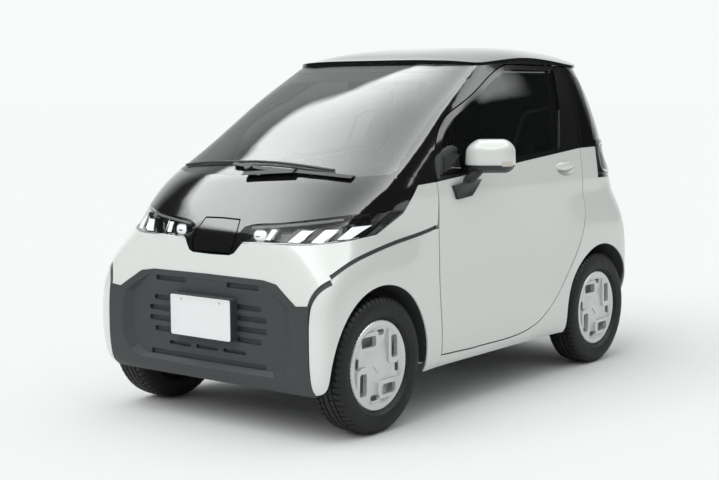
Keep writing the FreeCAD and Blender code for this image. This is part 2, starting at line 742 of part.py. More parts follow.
def makeTyre():
    """Tyre about the X axis: bead, bulging side, shoulder and tread."""
    half = tyreWidth / 2
    profile = [
        (rimSeatRadius, -half + 22), (rimSeatRadius, half - 22), (rimSeatRadius + 16, half - 22),
        (226, half), (tyreRadius - 11, half - 7), (tyreRadius, half - 25), (tyreRadius, -half + 25),
        (tyreRadius - 11, -half + 7), (226, -half), (rimSeatRadius + 16, -half + 22)]
    return revolved(profile)


def revolved(profile):
    """Solid of a closed (radius, place) profile turned about the X axis."""
    wire = Part.makePolygon([V(x, 0, r) for r, x in profile + profile[:1]])
    return Part.Face(wire).revolve(V(0, 0, 0), V(1, 0, 0), 360)


def makeWheel():
    """Rim, disc and full cover about the X axis, the outer side towards +X."""
    seat = tyreWidth / 2 - 22
    barrel = rimSeatRadius - 7
    rim = revolved([
        (rimSeatRadius, -seat), (rimSeatRadius, seat), (barrel, seat), (barrel, 22), (60, 12), (0, 12),
        (0, -5), (62, -5), (barrel, 10), (barrel, -seat)])
    return rim.fuse([makeCover(), Part.makeCylinder(26, 40, V(8, 0, 0), V(1, 0, 0))])


coverRadius = 180.0


def makeCover():
    """Wheel cover: a dished plate, four loops set round it like a pinwheel, slots and a diamond hub."""
    plate = revolved([
        (0, 46), (66, 46), (100, 44), (148, 47), (rimSeatRadius - 3, 53),
        (rimSeatRadius - 1, tyreWidth / 2 - 22 + seatGap), (coverRadius - 2, 57.5), (coverRadius, 58.5),
        (176, 62), (158, 60), (142, 53), (100, 50), (66, 54), (0, 56)])
    dome = revolved([(0, 40), (rimSeatRadius - 3, 40), (rimSeatRadius - 3, 57), (168, 57.5), (150, 61),
                     (120, 63), (70, 63.5), (0, 62)])
    loop = softBox(44, 70, -160, 5, 64, 137, 22, V(1, 0, 0))
    window = softBox(30, 80, -109, -19, 80, 122, 10, V(1, 0, 0))
    vent = softBox(30, 80, -2, 44, 117, 140, 9, V(1, 0, 0))
    loops = []
    holes = []
    for quarter in range(4):
        for shape, kept in ((loop, loops), (window, holes), (vent, holes)):
            turned = shape.copy()
            turned.rotate(V(0, 0, 0), V(1, 0, 0), 90 * quarter)
            kept.append(turned)
    raised = loops[0].fuse(loops[1:]).common(dome)
    hub = outlineFace([(0, 31), (31, 0), (0, -31), (-31, 0)], lambda y, z: V(50, y, z)).extrude(V(10, 0, 0))
    return plate.fuse([raised, hub]).cut(holes)


def atWheel(shape, side, axleY):
    placed = shape.copy()
    if side < 0:
        placed.rotate(V(0, 0, 0), V(0, 0, 1), 180)
    placed.translate(V(side * wheelX, axleY, tyreRadius))
    return placed


def kingpinPoint(z):
    """Left kingpin's place at a height, as a tuple."""
    return (kingpinX - (z - kingpinZ) * math.tan(math.radians(kingpinLean)), frontAxleY, z)


strutFootZ = 430.0
hubFaceX = wheelX - 5 - seatGap
hubRadius = 52.0
pinRadius = 9.0


def makeKnuckle():
    """Left front upright: hub, post between the two kingpin ends, and steering arm."""
    hub = rod((kingpinX - 30, frontAxleY, tyreRadius), (hubFaceX, frontAxleY, tyreRadius), hubRadius)
    post = rod(kingpinPoint(kingpinZ + 14), kingpinPoint(strutFootZ), 21)
    pin = rod(kingpinPoint(kingpinZ - 12), kingpinPoint(kingpinZ + 16), pinRadius)
    cap = rod(kingpinPoint(strutFootZ - 2), kingpinPoint(strutFootZ + 16), pinRadius)
    arm = box(kingpinX - 38, kingpinX - 14, frontAxleY, frontAxleY + 112, 236, 256)
    eye = Part.makeCylinder(15, 24, V(kingpinX - 26, frontAxleY + 112, 234))
    return hub.fuse([post, pin, cap, arm, eye])


def makeFrontSubframe():
    """Cross member with lower arms to the ball joints, and the struts above the uprights."""
    beam = box(-285, 285, frontAxleY - 45, frontAxleY + 45, 178, 226)
    arm = box(275, kingpinPoint(kingpinZ)[0] + 20, frontAxleY - 26, frontAxleY + 26, kingpinZ - 12,
              kingpinZ + 9)
    arm = arm.cut(rod(kingpinPoint(kingpinZ - 30), kingpinPoint(kingpinZ + 30), pinRadius + seatGap))
    strutTop = tyreRadius + archRise + linerRadius - 12
    strut = rod(kingpinPoint(strutFootZ + 1.5), kingpinPoint(strutTop), 19)
    strut = strut.cut(rod(kingpinPoint(strutFootZ - 5), kingpinPoint(strutFootZ + 20), pinRadius + seatGap))
    return Part.makeCompound([beam.fuse([arm, mirrored(arm)]), strut, mirrored(strut)])


def makeRearAxle():
    """Drive unit on the axle line, twist beam ahead of it, trailing arms, hubs and half shafts."""
    beamY = rearAxleY - 190
    unit = box(-190, 190, rearAxleY - 130, rearAxleY + 120, 170, 400)
    beam = rod((-470, beamY, 262), (470, beamY, 262), 32)
    parts = [unit, box(-60, 60, beamY, rearAxleY - 120, 235, 290)]
    arm = box(440, 480, beamY - 20, rearAxleY + 40, 240, 300)
    hub = rod((440, rearAxleY, tyreRadius), (hubFaceX, rearAxleY, tyreRadius), hubRadius)
    shaft = rod((180, rearAxleY, tyreRadius), (445, rearAxleY, tyreRadius), 15)
    damperTop = tyreRadius + archRise + linerRadius - 20
    damper = rod((440, rearAxleY + 20, 290), (430, rearAxleY + 60, damperTop), 17)
    for piece in (arm, hub, shaft, damper):
        parts.append(piece)
        parts.append(mirrored(piece))
    return beam.fuse(parts)


frontLinerX = 300.0
rearLinerX = 400.0


def makeWheelLiners():
    """Four wheel housings: an arched shell with an inner wall, open below."""
    shells = []
    for axleY, innerX in ((frontAxleY, frontLinerX), (rearAxleY, rearLinerX)):
        outside = wheelSpace(axleY, linerRadius + linerWall, innerX - linerWall, 640)
        shell = outside.cut([wheelSpace(axleY, linerRadius, innerX, 700),
                             box(200, 700, axleY - 400, axleY + 400, 0, 232)])
        if axleY == rearAxleY:
            shell = shell.cut(box(innerX - 10, innerX + 5, axleY - 240, axleY + 60, 0, 310))
        if axleY == frontAxleY:
            shell = shell.cut(box(innerX - 20, 560, frontY - 40, tubFloorY + slotDepth + 11, 0, 700))
        shells.append(shell.common(skinCore))
    return Part.makeCompound(shells + [mirrored(shell) for shell in shells])


def makeFloorPan():
    """Folded floor: foot wall, cabin floor, seat step and luggage floor, with the undertray."""
    line = [(-640, 640), (-560, 262), (-500, 232), (345, 232), (382, 415), (600, 460), (640, 545),
            (1170, 545)]
    outline = line + list(reversed(offsetLine(line, floorWall)))
    pan = sidePrism(outline, -insideX, insideX)
    room = linerRadius + linerWall + seatGap
    for axleY, innerX in ((frontAxleY, frontLinerX), (rearAxleY, rearLinerX)):
        space = wheelSpace(axleY, room, innerX - linerWall - seatGap, farSide)
        pan = pan.cut([space, mirrored(space)])
    tray = box(-285, 285, frontY + 92, frontAxleY - 60, 196, 204)
    return Part.makeCompound([pan, tray])


floorWall = 12.0


def roundedBlock(sizeX, sizeY, sizeZ, radius):
    block = Part.makeBox(sizeX, sizeY, sizeZ, V(-sizeX / 2, 0, 0))
    return block.makeFillet(radius, block.Edges)


seatX = 252.0
seatLean = 14.0


def makeSeatCushions():
    cushion = roundedBlock(440, 480, 120, 32)
    cushion.translate(V(seatX, -75, 440 + seatGap))
    return withMirror(cushion)


def makeSeatBacks():
    back = roundedBlock(430, 110, 600, 32)
    head = roundedBlock(230, 80, 170, 26)
    head.translate(V(0, 12, 612))
    both = [back, head]
    for piece in both:
        piece.rotate(V(0, 0, 0), V(1, 0, 0), -seatLean)
        piece.translate(V(seatX, 384, 566))
    return Part.makeCompound(both + [mirrored(piece) for piece in both])


def makeSeatFrames():
    base = box(seatX - 200, seatX + 200, -50, 320, 232 + floorWall + seatGap, 440)
    return withMirror(base)


def makeDashboard():
    outline = [(-900, 960), (-600, 950), (-420, 925), (-372, 880), (-385, 800), (-440, 700), (-520, 655),
               (-600, 655), (-640, 700), (-860, 930)]
    return sidePrism(outline, -496, 496).common(bodyCore(-44))


steeringX = -252.0
steeringY = -262.0
steeringZ = 905.0
steeringTilt = -62.0


def steeringPlace(shape):
    shape.rotate(V(0, 0, 0), V(1, 0, 0), steeringTilt)
    shape.translate(V(steeringX, steeringY, steeringZ))
    return shape


def makeSteeringWheel():
    """Rim, hub and three spokes; the wheel's face looks back and up at the driver."""
    ring = Part.makeTorus(168, 14)
    parts = [Part.makeCylinder(56, 30, V(0, 0, -18))]
    for angle in (90, 210, 330):
        spoke = box(30, 166, -16, 16, -8, 2)
        spoke.rotate(V(0, 0, 0), V(0, 0, 1), angle)
        parts.append(spoke)
    return steeringPlace(ring.fuse(parts))


def makeSteeringColumn(dashboard):
    column = steeringPlace(Part.makeCylinder(30, 190, V(0, 0, -208 - seatGap)))
    return column.cut(dashboard)


def makeInteriorMirror():
    glass = softBox(-110, 110, -150, -132, 1346, 1404, 20, V(0, 1, 0))
    stalk = rod((0, -146, 1390), (0, -175, 1455), 9)
    stalk = stalk.cut(box(-30, 30, -300, -100, glassTopZ - pillarFlange - 1, 1500))
    pieces = sorted(stalk.cut(headerSlab(seatGap)).Solids, key=lambda piece: piece.CenterOfMass.z)
    return glass.fuse(pieces[0])


wiperFoot = (-0.015, 1021.0)
wiperArmLine = [(-12, 1006), (110, 1015), (238, 1024)]
bladeLine = [(-128, 1044), (35, 1031), (241, 1024), (383, 1016), (486, 1006)]


def makeWiper():
    """Single arm and blade that lie just above the foot of the windscreen."""
    blade = frontPrism(bladeLine + list(reversed(offsetLine(bladeLine, 9))), farFront, -700)
    blade = blade.common(bodySlab(-0.5, 0.95, 985, 1080, 13, 4))
    arm = frontPrism(wiperArmLine + list(reversed(offsetLine(wiperArmLine, 14))), farFront, -700)
    arm = arm.common(bodySlab(-0.3, 0.7, 985, 1080, 22, 9))
    foot = skinPoint(wiperFoot[0], wiperFoot[1], -1 + seatGap)
    cap = Part.makeCylinder(17, 25, foot, skinPoint(wiperFoot[0], wiperFoot[1], 4) - foot)
    return blade.fuse([arm, cap])


def makeChargeInlet():
    """Tray behind the lid with a round socket for the charging plug."""
    tray = box(-88, 88, inletY, inletY + 6, 724, 828)
    ring = Part.makeCylinder(34, 24, V(0, inletY - 24, 776), V(0, 1, 0))
    socket = Part.makeCylinder(socketRadius, 60, V(0, inletY - 40, 776), V(0, 1, 0))
    bar = box(-130, 130, inletY - 55, inletY + 6, 765, 785).cut(box(-82, 82, -1300, inletY, 700, 900))
    lampSpace = frontPrism(lampOutline, farFront, -550, -0.5 + seatGap)
    bar = bar.cut([lampSpace, mirrored(lampSpace)]).cut(bodySlab(-0.4, 0.4, 700, 900, 5, -15))
    bar = sorted(bar.Solids, key=lambda piece: abs(piece.CenterOfMass.x))[0]
    return tray.fuse([ring, bar]).cut(socket)


inletY = -1085.0
socketRadius = 27.0


def makeBeltHoops():
    """Grey tube behind each door window: an upright with a branch that bends forward and down."""
    upright = [(478, 700, 540), (490, 690, 1060), (472, 696, 1270), (432, 690, 1510)]
    branch = [(472, 696, 1262), (482, 450, 1242), (486, 400, 1215), (490, 330, 1095), (490, 318, 1010)]
    tubes = []
    for line in (upright, branch):
        for start, end in zip(line, line[1:]):
            step = (V(*end) - V(*start)).normalize() * hoopLap
            tubes.append(rod(tuple(V(*start) - step), tuple(V(*end) + step), hoopRadius))
    hoop = tubes[0].fuse(tubes[1:]).cut(box(300, 600, 600, 800, 400, 557 + seatGap))
    hoop = hoop.cut(bodySlab(-3, 3, 955, 1540, 0, -frameWall - seatGap))
    hoop = hoop.cut(roofSheet(200, -roofWall - seatGap))
    return withMirror(sorted(hoop.Solids, key=lambda piece: piece.CenterOfMass.z)[0])


hoopLap = 3.0
hoopRadius = 9.0


def build(name, shape):
    solids = shape.Solids
    shape = solids[0] if len(solids) == 1 else Part.makeCompound(solids)
    shape.exportStep("parts/" + name + ".step")
    print(name, shape.isValid(), len(solids), round(shape.Volume / 1e6, 3), "litres")


os.makedirs("parts", exist_ok=True)
skinCore = bodyCore(-panelWall - stripDepth)
darkTool = frontPrism(darkOutline, farFront, -540).common(darkSide(0))
lampHole = frontPrism(lampOutline, farFront, -550, 0.8).common(darkSide(0.8))
lampHoles = lampHole.fuse(mirrored(lampHole))
grilleHole = frontPrism(grilleOutline, farFront, -1120)
doorHole = sidePrism(doorOutline, 380, farSide, shutGap)
doorHoles = doorHole.fuse(mirrored(doorHole))

dashboard = makeDashboard()
build("nose_panel", makeNosePanel())
build("front_flares", makeFrontFlares())
build("bonnet", makeBonnet())
build("charge_lid", makeChargeLid())
build("headlamps", makeHeadlamps())
build("lamp_housings", makeLampHousings())
build("front_grille", makeFrontGrille())
build("charge_inlet", makeChargeInlet())
build("windscreen", makeWindscreen())
build("wiper", makeWiper())
build("screen_trim", makeScreenTrim())
build("roof", makeRoof())
build("cab_frame", makeCabFrame())
build("quarter_windows", makeQuarterWindows())
build("tail_panel", makeTailPanel())
build("rear_bumper", makeRearBumper())
build("tail_lamps", makeTailLamps())
build("hatch", makeHatch())
build("quarter_panels", withMirror(makeQuarterPanel()))
for name, piece in (("door_", makeDoor()), ("door_frame_", makeDoorFrame()),
                    ("door_glass_", makeDoorGlass()), ("mirror_", makeMirror()), ("knuckle_", makeKnuckle())):
    build(name + "left", piece)
    build(name + "right", mirrored(piece))
tyre = makeTyre()
wheel = makeWheel()
for end, axleY in (("front", frontAxleY), ("rear", rearAxleY)):
    for side, sign in (("left", 1), ("right", -1)):
        build("tyre_" + end + "_" + side, atWheel(tyre, sign, axleY))
        build("wheel_" + end + "_" + side, atWheel(wheel, sign, axleY))
build("front_subframe", makeFrontSubframe())
build("rear_axle", makeRearAxle())
build("wheel_liners", makeWheelLiners())
build("floor_pan", makeFloorPan())
build("battery_pack", box(-400, 400, -430, 330, 160, 232 - seatGap))
build("seat_cushions", makeSeatCushions())
build("seat_backs", makeSeatBacks())
build("seat_frames", makeSeatFrames())
build("belt_hoops", makeBeltHoops())
build("interior_mirror", makeInteriorMirror())
build("dashboard", Part.makeCompound([dashboard, makeSteeringColumn(dashboard)]))
build("steering_wheel", makeSteeringWheel())
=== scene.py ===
import json
import math

import bmesh
import bpy
import numpy as np
from mathutils import Matrix, Vector
from mathutils.bvhtree import BVHTree


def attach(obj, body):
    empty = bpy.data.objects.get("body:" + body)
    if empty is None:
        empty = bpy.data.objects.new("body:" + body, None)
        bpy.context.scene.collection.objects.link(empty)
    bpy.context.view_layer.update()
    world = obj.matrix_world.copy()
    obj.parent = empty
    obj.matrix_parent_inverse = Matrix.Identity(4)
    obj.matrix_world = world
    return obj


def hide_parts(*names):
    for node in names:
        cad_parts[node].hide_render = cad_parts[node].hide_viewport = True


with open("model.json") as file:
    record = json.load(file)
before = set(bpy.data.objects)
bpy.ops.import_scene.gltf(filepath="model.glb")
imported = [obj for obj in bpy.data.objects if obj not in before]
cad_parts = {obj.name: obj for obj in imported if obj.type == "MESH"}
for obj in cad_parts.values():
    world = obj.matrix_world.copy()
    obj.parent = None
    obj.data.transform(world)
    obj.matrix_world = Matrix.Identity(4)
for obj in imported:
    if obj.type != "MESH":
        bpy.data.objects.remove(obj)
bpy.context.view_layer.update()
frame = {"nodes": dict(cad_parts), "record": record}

nodes = frame["nodes"]
bothSides = (("left", 1), ("right", -1))
print("stage: frame loaded,", len(nodes), "nodes")


# Camera, placed as the photo was taken

camera = {
    "place": (3.80579, -5.08165, 1.35285), "yaw": 37.99, "pitch": 6.3, "roll": -0.31,
    "focalPixels": 1364.4, "pictureWide": 719, "sensorWide": 36.0, "farthest": 400}


def addCamera(c):
    # turned by roll about its own axis, then tilted up from looking down, then turned by yaw about z
    yaw, tilt, roll = (Matrix.Rotation(math.radians(angle), 4, axis)
                       for angle, axis in ((c["yaw"], "Z"), (90 - c["pitch"], "X"), (c["roll"], "Z")))
    data = bpy.data.cameras.new("camera")
    data.sensor_width = c["sensorWide"]
    data.lens = c["focalPixels"] * c["sensorWide"] / c["pictureWide"]
    data.clip_end = c["farthest"]
    eye = bpy.data.objects.new("camera", data)
    bpy.context.scene.collection.objects.link(eye)
    eye.matrix_world = Matrix.Translation(c["place"]) @ yaw @ tilt @ roll
    bpy.context.scene.camera = eye


addCamera(camera)


# Material tools

def newMaterial(name):
    material = bpy.data.materials.new(name)
    material.use_nodes = True
    tree = material.node_tree
    tree.nodes.clear()
    return material, tree


def addNode(tree, kind, **values):
    # a value is linked when it is another node's output, and else set on the input or property of its name
    node = tree.nodes.new(kind)
    for key, value in values.items():
        if isinstance(value, bpy.types.NodeSocket):
            tree.links.new(value, node.inputs[key])
        elif key in node.inputs:
            node.inputs[key].default_value = value
        else:
            setattr(node, key, value)
    return node


def math2(tree, operation, a, b):
    node = addNode(tree, "ShaderNodeMath", operation=operation)
    for place, value in enumerate((a, b)):
        if isinstance(value, (int, float)):
            node.inputs[place].default_value = value
        else:
            tree.links.new(value, node.inputs[place])
    return node.outputs[0]


def splitAxes(tree, vector):
    return addNode(tree, "ShaderNodeSeparateXYZ", Vector=vector).outputs


def ramp(tree, value, low, high):
    # 0 below low, 1 above high, a straight rise between them
    return addNode(tree, "ShaderNodeMapRange", Value=value, **{"From Min": low, "From Max": high}).outputs[0]


def spreadTo(tree, value, low, high):
    # low where the value is 0, high where it is 1
    return addNode(tree, "ShaderNodeMapRange", Value=value, **{"To Min": low, "To Max": high}).outputs[0]


def mixColours(tree, share, low, high):
    # the low colour where the share is 0, the high one where it is 1
    mix = addNode(tree, "ShaderNodeMix", data_type="RGBA")
    mix.inputs[6].default_value = (*low, 1)
    mix.inputs[7].default_value = (*high, 1)
    tree.links.new(share, mix.inputs[0])
    return mix.outputs[2]


def objectNoise(tree, scale, detail=2.0):
    place = addNode(tree, "ShaderNodeTexCoord").outputs["Object"]
    return addNode(tree, "ShaderNodeTexNoise", Vector=place, Scale=scale, Detail=detail, Roughness=0.5).outputs[0]


def relief(tree, height, strength, deep):
    return addNode(tree, "ShaderNodeBump", Height=height, Strength=strength, Distance=deep).outputs[0]


def covered(material, tree, sockets):
    # one principled shader, its even values on its own sockets
    surface = addNode(tree, "ShaderNodeBsdfPrincipled", **sockets)
    addNode(tree, "ShaderNodeOutputMaterial", Surface=surface.outputs[0])
    return material


# Studio: white paper floor, pale sky, one wide soft sun, and bright panels that only gloss sees.
# Angles are in degrees; the side panel lies between two azimuths counted from the front to the left.

studio = {
    "floorWide": 240.0, "floorColour": (0.905, 0.905, 0.905, 1),
    "backdrop": (0.925, 0.965, 0.96, 1), "skyLow": 0.2, "skyRise": 0.8, "skyTint": (0.96, 1.0, 0.98, 1),
    "sunStrength": 1.35, "sunAngle": 55.0, "sunFrom": (-0.55, -1.9, 2.2),
    "glossTint": (0.97, 1.0, 0.99, 1), "darkTone": 0.035,
    "roofEdge": 40.0, "roofSoft": 2.2, "roofBright": 5.5, "roofFade": 0.62,
    "sideFrom": 140.0, "sideTo": 151.0, "sideRise": 13.0, "sideSoft": 1.0, "sideBright": 2.2,
    "behind": (-0.616, 0.788), "behindFrom": 0.55, "behindTo": 0.75, "behindBright": 0.9}


def addSky(s):
    world = bpy.data.worlds.new("studioSky")
    bpy.context.scene.world = world
    world.use_nodes = True
    tree = world.node_tree
    tree.nodes.clear()

    def sine(degrees):
        return math.sin(math.radians(degrees))

    def product(a, b):
        return math2(tree, "MULTIPLY", a, b)

    x, y, z = splitAxes(tree, addNode(tree, "ShaderNodeTexCoord").outputs["Generated"])
    # gloss sees a roof panel: dark below its edge, bright above it, fading towards straight up
    edge, edgeEnd = sine(s["roofEdge"]), sine(s["roofEdge"] + s["roofSoft"])
    fade = math2(tree, "SUBTRACT", 1.0, product(ramp(tree, z, edgeEnd, 1.0), s["roofFade"]))
    roofPanel = product(product(ramp(tree, z, edge, edgeEnd), fade), s["roofBright"])
    # and a side panel
    low, high, rise, soft = s["sideFrom"], s["sideTo"], s["sideRise"], s["sideSoft"]
    turn = product(math2(tree, "ARCTAN2", x, product(y, -1.0)), 180 / math.pi)
    within = product(ramp(tree, turn, low, low + soft), ramp(tree, turn, high + soft, high))
    sidePanel = product(product(within, ramp(tree, z, sine(rise), sine(rise + soft))), s["sideBright"])
    # and the white backdrop on the far side, which reaches down to the floor
    ahead = math2(tree, "ADD", product(x, s["behind"][0]), product(y, s["behind"][1]))
    backdrop = product(ramp(tree, ahead, s["behindFrom"], s["behindTo"]), s["behindBright"])
    panels = math2(tree, "MAXIMUM", math2(tree, "MAXIMUM", roofPanel, sidePanel), backdrop)
    shine = math2(tree, "ADD", panels, s["darkTone"])
    # light sees a sky that brightens with height
    glow = math2(tree, "ADD", product(math2(tree, "MAXIMUM", z, 0.0), s["skyRise"]), s["skyLow"])
    ray = addNode(tree, "ShaderNodeLightPath").outputs
    seen = addNode(tree, "ShaderNodeBackground", Color=s["backdrop"], Strength=1.0)
    gloss = addNode(tree, "ShaderNodeBackground", Color=s["glossTint"], Strength=shine)
    lit = addNode(tree, "ShaderNodeBackground", Color=s["skyTint"], Strength=glow)
    direct = math2(tree, "MAXIMUM", ray["Is Camera Ray"], ray["Is Transmission Ray"])
    last = lit
    for share, other in ((ray["Is Glossy Ray"], gloss), (direct, seen)):
        mix = addNode(tree, "ShaderNodeMixShader")
        for place, output in enumerate((share, last.outputs[0], other.outputs[0])):
            tree.links.new(output, mix.inputs[place])
        last = mix
    addNode(tree, "ShaderNodeOutputWorld", Surface=last.outputs[0])


def addSun(s):
    data = bpy.data.lights.new("softSun", "SUN")
    data.energy = s["sunStrength"]
    data.angle = math.radians(s["sunAngle"])
    lamp = bpy.data.objects.new("softSun", data)
    lamp.rotation_euler = (-Vector(s["sunFrom"])).to_track_quat("-Z", "Y").to_euler()
    lamp.visible_glossy = False
    bpy.context.scene.collection.objects.link(lamp)


def addFloor(s):
    half = s["floorWide"] / 2
    mesh = bpy.data.meshes.new("floor")
    mesh.from_pydata([(-half, -half, 0), (half, -half, 0), (half, half, 0), (-half, half, 0)], [], [(0, 1, 2, 3)])
    floor = bpy.data.objects.new("floor", mesh)
    bpy.context.scene.collection.objects.link(floor)
    material, tree = newMaterial("floorPaper")
    paper = addNode(tree, "ShaderNodeBsdfDiffuse", Color=s["floorColour"])
    addNode(tree, "ShaderNodeOutputMaterial", Surface=paper.outputs[0])
    mesh.materials.append(material)


addSky(studio)
addSun(studio)
addFloor(studio)
bpy.context.scene.view_settings.view_transform = "Standard"
print("stage: camera, sky, sun and floor")


# Finishes. Each one has its own fine texture from noise on Object coordinates.

texture = {
    "tintDetail": 4.0, "roughScale": 40.0, "roughDetail": 3.0, "bumpDeep": 0.0004,
    "paneScale": 6.0, "paneDetail": 3.0, "paneRough": (0.006, 0.016), "pairDeep": 0.0003,
    # the cloth's dark and pale tones are painted shade in the weave's hollows and painted light on its tops
    "clothHollowShade": 0.55, "clothTopLight": 1.25, "clothShadeShare": 0.6, "clothRough": 0.88, "sheenRough": 0.5,
    "threadWave": 0.6, "threadFloor": 0.4, "clothBump": 0.5, "clothDeep": 0.0005}


def finish(name, color, rough, metal=0.0, coat=0.0, coatRough=0.03, bump=0.0, bumpScale=600.0, tint=0.0,
           tintScale=3.0, roughVary=0.0, specular=0.5, glow=0.0):
    # with noise n: colour x (1 + tint (2 n - 1)), roughness x (1 + roughVary (2 n - 1)), height n
    material, tree = newMaterial(name)
    sockets = {"Base Color": (*color, 1), "Roughness": rough, "Metallic": metal, "IOR": 1.5, "Coat Weight": coat,
               "Coat Roughness": coatRough, "Specular IOR Level": specular}
    if glow:
        sockets.update({"Emission Color": (*color, 1), "Emission Strength": glow})
    if tint:
        noise = objectNoise(tree, tintScale, texture["tintDetail"])
        low, high = ([min(max(c * k, 0), 1) for c in color] for k in (1 - tint, 1 + tint))
        sockets["Base Color"] = mixColours(tree, noise, low, high)
    if roughVary:
        noise = objectNoise(tree, texture["roughScale"], texture["roughDetail"])
        sockets["Roughness"] = spreadTo(tree, noise, rough * (1 - roughVary), rough * (1 + roughVary))
    if bump:
        sockets["Normal"] = relief(tree, objectNoise(tree, bumpScale), bump, texture["bumpDeep"])
    return covered(material, tree, sockets)


def pane(name, color, alpha, ior):
    # thin tinted glass: its alpha is the tint, its high index the strong mirror sheen
    material, tree = newMaterial(name)
    varied = spreadTo(tree, objectNoise(tree, texture["paneScale"], texture["paneDetail"]), *texture["paneRough"])
    return covered(material, tree, {"Base Color": (*color, 1), "Alpha": alpha, "IOR": ior, "Roughness": varied})


def pairedFinish(name, shareOf, colours, roughs, coat, coatRough, grain, bump):
    # the first colour and roughness where the share is 0, the second ones where it is 1
    material, tree = newMaterial(name)
    share = shareOf(tree, addNode(tree, "ShaderNodeTexCoord").outputs)
    return covered(material, tree, {
        "Base Color": mixColours(tree, share, *colours), "Roughness": spreadTo(tree, share, *roughs),
        "Coat Weight": coat, "Coat Roughness": coatRough,
        "Normal": relief(tree, objectNoise(tree, grain), bump, texture["pairDeep"])})


def twoTone(name, upper, lower, height, inner):
    # gloss paint above a height and outside a distance from the middle, grained plastic elsewhere
    def shareOf(tree, place):
        axes = splitAxes(tree, place["Object"])
        out = math2(tree, "GREATER_THAN", math2(tree, "ABSOLUTE", axes["X"], 0.0), inner)
        return math2(tree, "MULTIPLY", math2(tree, "GREATER_THAN", axes["Z"], height), out)

    return pairedFinish(name, shareOf, (lower, upper), (0.5, 0.28), coat=0.4, coatRough=0.05, grain=900.0,
                        bump=0.06)


def linedPaint(name, color, lining, side):
    # paint outside, grained lining where the surface faces the cab: object normal x side below a limit
    facesCab = -0.45

    def shareOf(tree, place):
        across = splitAxes(tree, place["Normal"])["X"]
        return math2(tree, "LESS_THAN", math2(tree, "MULTIPLY", across, side), facesCab)

    return pairedFinish(name, shareOf, (color, lining), (0.3, 0.6), coat=0.35, coatRough=0.08, grain=850.0,
                        bump=0.04)


def cloth(name, color, threadWide, sheen):
    # weave = (wave x + wave z) (wave y + floor): it is the height, and its low places are darker as painted shade
    # and its tops lighter as painted light
    t = texture
    material, tree = newMaterial(name)
    place = addNode(tree, "ShaderNodeTexCoord").outputs["Object"]
    scale = math.pi / (10 * threadWide)  # one wave is pi / (10 scale) long
    waves = [addNode(tree, "ShaderNodeTexWave", bands_direction=way, Vector=place, Scale=scale,
                     Distortion=t["threadWave"]).outputs["Fac"] for way in ("X", "Z", "Y")]
    weave = math2(tree, "MULTIPLY", math2(tree, "ADD", waves[0], waves[1]),
                  math2(tree, "ADD", waves[2], t["threadFloor"]))
    # dark in the weave's hollows is painted shade, pale on its tops is painted light
    dark, pale = ([c * k for c in color] for k in (t["clothHollowShade"], t["clothTopLight"]))
    return covered(material, tree, {
        "Base Color": mixColours(tree, math2(tree, "MULTIPLY", weave, t["clothShadeShare"]), dark, pale),
        "Roughness": t["clothRough"], "Sheen Weight": sheen, "Sheen Roughness": t["sheenRough"],
        "Normal": relief(tree, weave, t["clothBump"], t["clothDeep"])})


whiteTone = (0.735, 0.755, 0.735)
liningTone = (0.045, 0.046, 0.05)
paintWhite = finish("pearlWhitePaint", whiteTone, 0.3, coat=0.5, coatRough=0.06, tint=0.012, tintScale=1500,
                    bump=0.02, bumpScale=900)
glossBlack = finish("glossBlackPaint", (0.008, 0.008, 0.009), 0.1, coat=1.0, coatRough=0.02, tint=0.15,
                    tintScale=900, specular=0.3)
darkPlastic = finish("grainedDarkPlastic", (0.052, 0.054, 0.058), 0.55, bump=0.2, bumpScale=900, roughVary=0.12,
                     specular=0.35)
trimPlastic = finish("dashPlastic", (0.035, 0.036, 0.038), 0.62, bump=0.25, bumpScale=700, roughVary=0.1)
gripPlastic = finish("gripPlastic", (0.02, 0.02, 0.022), 0.5, bump=0.2, bumpScale=800, roughVary=0.1)
hoopPlastic = finish("hoopPlastic", (0.3, 0.31, 0.31), 0.42, bump=0.08, bumpScale=700, roughVary=0.1)
tyreRubber = finish("tyreRubber", (0.014, 0.014, 0.015), 0.6, bump=0.25, bumpScale=420, roughVary=0.2,
                    tint=0.25, tintScale=14.0, specular=0.35)
wheelSilver = finish("wheelSilver", (0.66, 0.67, 0.67), 0.34, metal=0.35, coat=0.3, coatRough=0.1, tint=0.04,
                     tintScale=1200, roughVary=0.1)
castIron = finish("castIron", (0.06, 0.06, 0.062), 0.65, metal=0.3, bump=0.4, bumpScale=250, roughVary=0.2)
chassisBlack = finish("chassisBlack", (0.025, 0.025, 0.027), 0.45, bump=0.15, bumpScale=300, roughVary=0.15)
alloy = finish("batteryAlloy", (0.35, 0.36, 0.37), 0.42, metal=0.9, bump=0.1, bumpScale=350, roughVary=0.2)
seatCloth = cloth("seatCloth", (0.035, 0.036, 0.04), threadWide=0.0016, sheen=0.3)
screenPane = pane("screenPane", (0.02, 0.022, 0.022), alpha=0.5, ior=2.4)
doorPane = pane("doorPane", (0.006, 0.007, 0.007), alpha=0.62, ior=1.7)
quarterPane = pane("quarterPane", (0.004, 0.004, 0.005), alpha=0.93, ior=1.7)
lampLens = pane("lampLens", (0.03, 0.03, 0.032), alpha=0.14, ior=1.6)
tailLens = finish("tailLens", (0.012, 0.012, 0.014), 0.08, coat=1.0, coatRough=0.02, tint=0.1, tintScale=500)
mirrorShell = twoTone("mirrorShell", whiteTone, (0.018, 0.018, 0.02), height=1.033, inner=0.6)

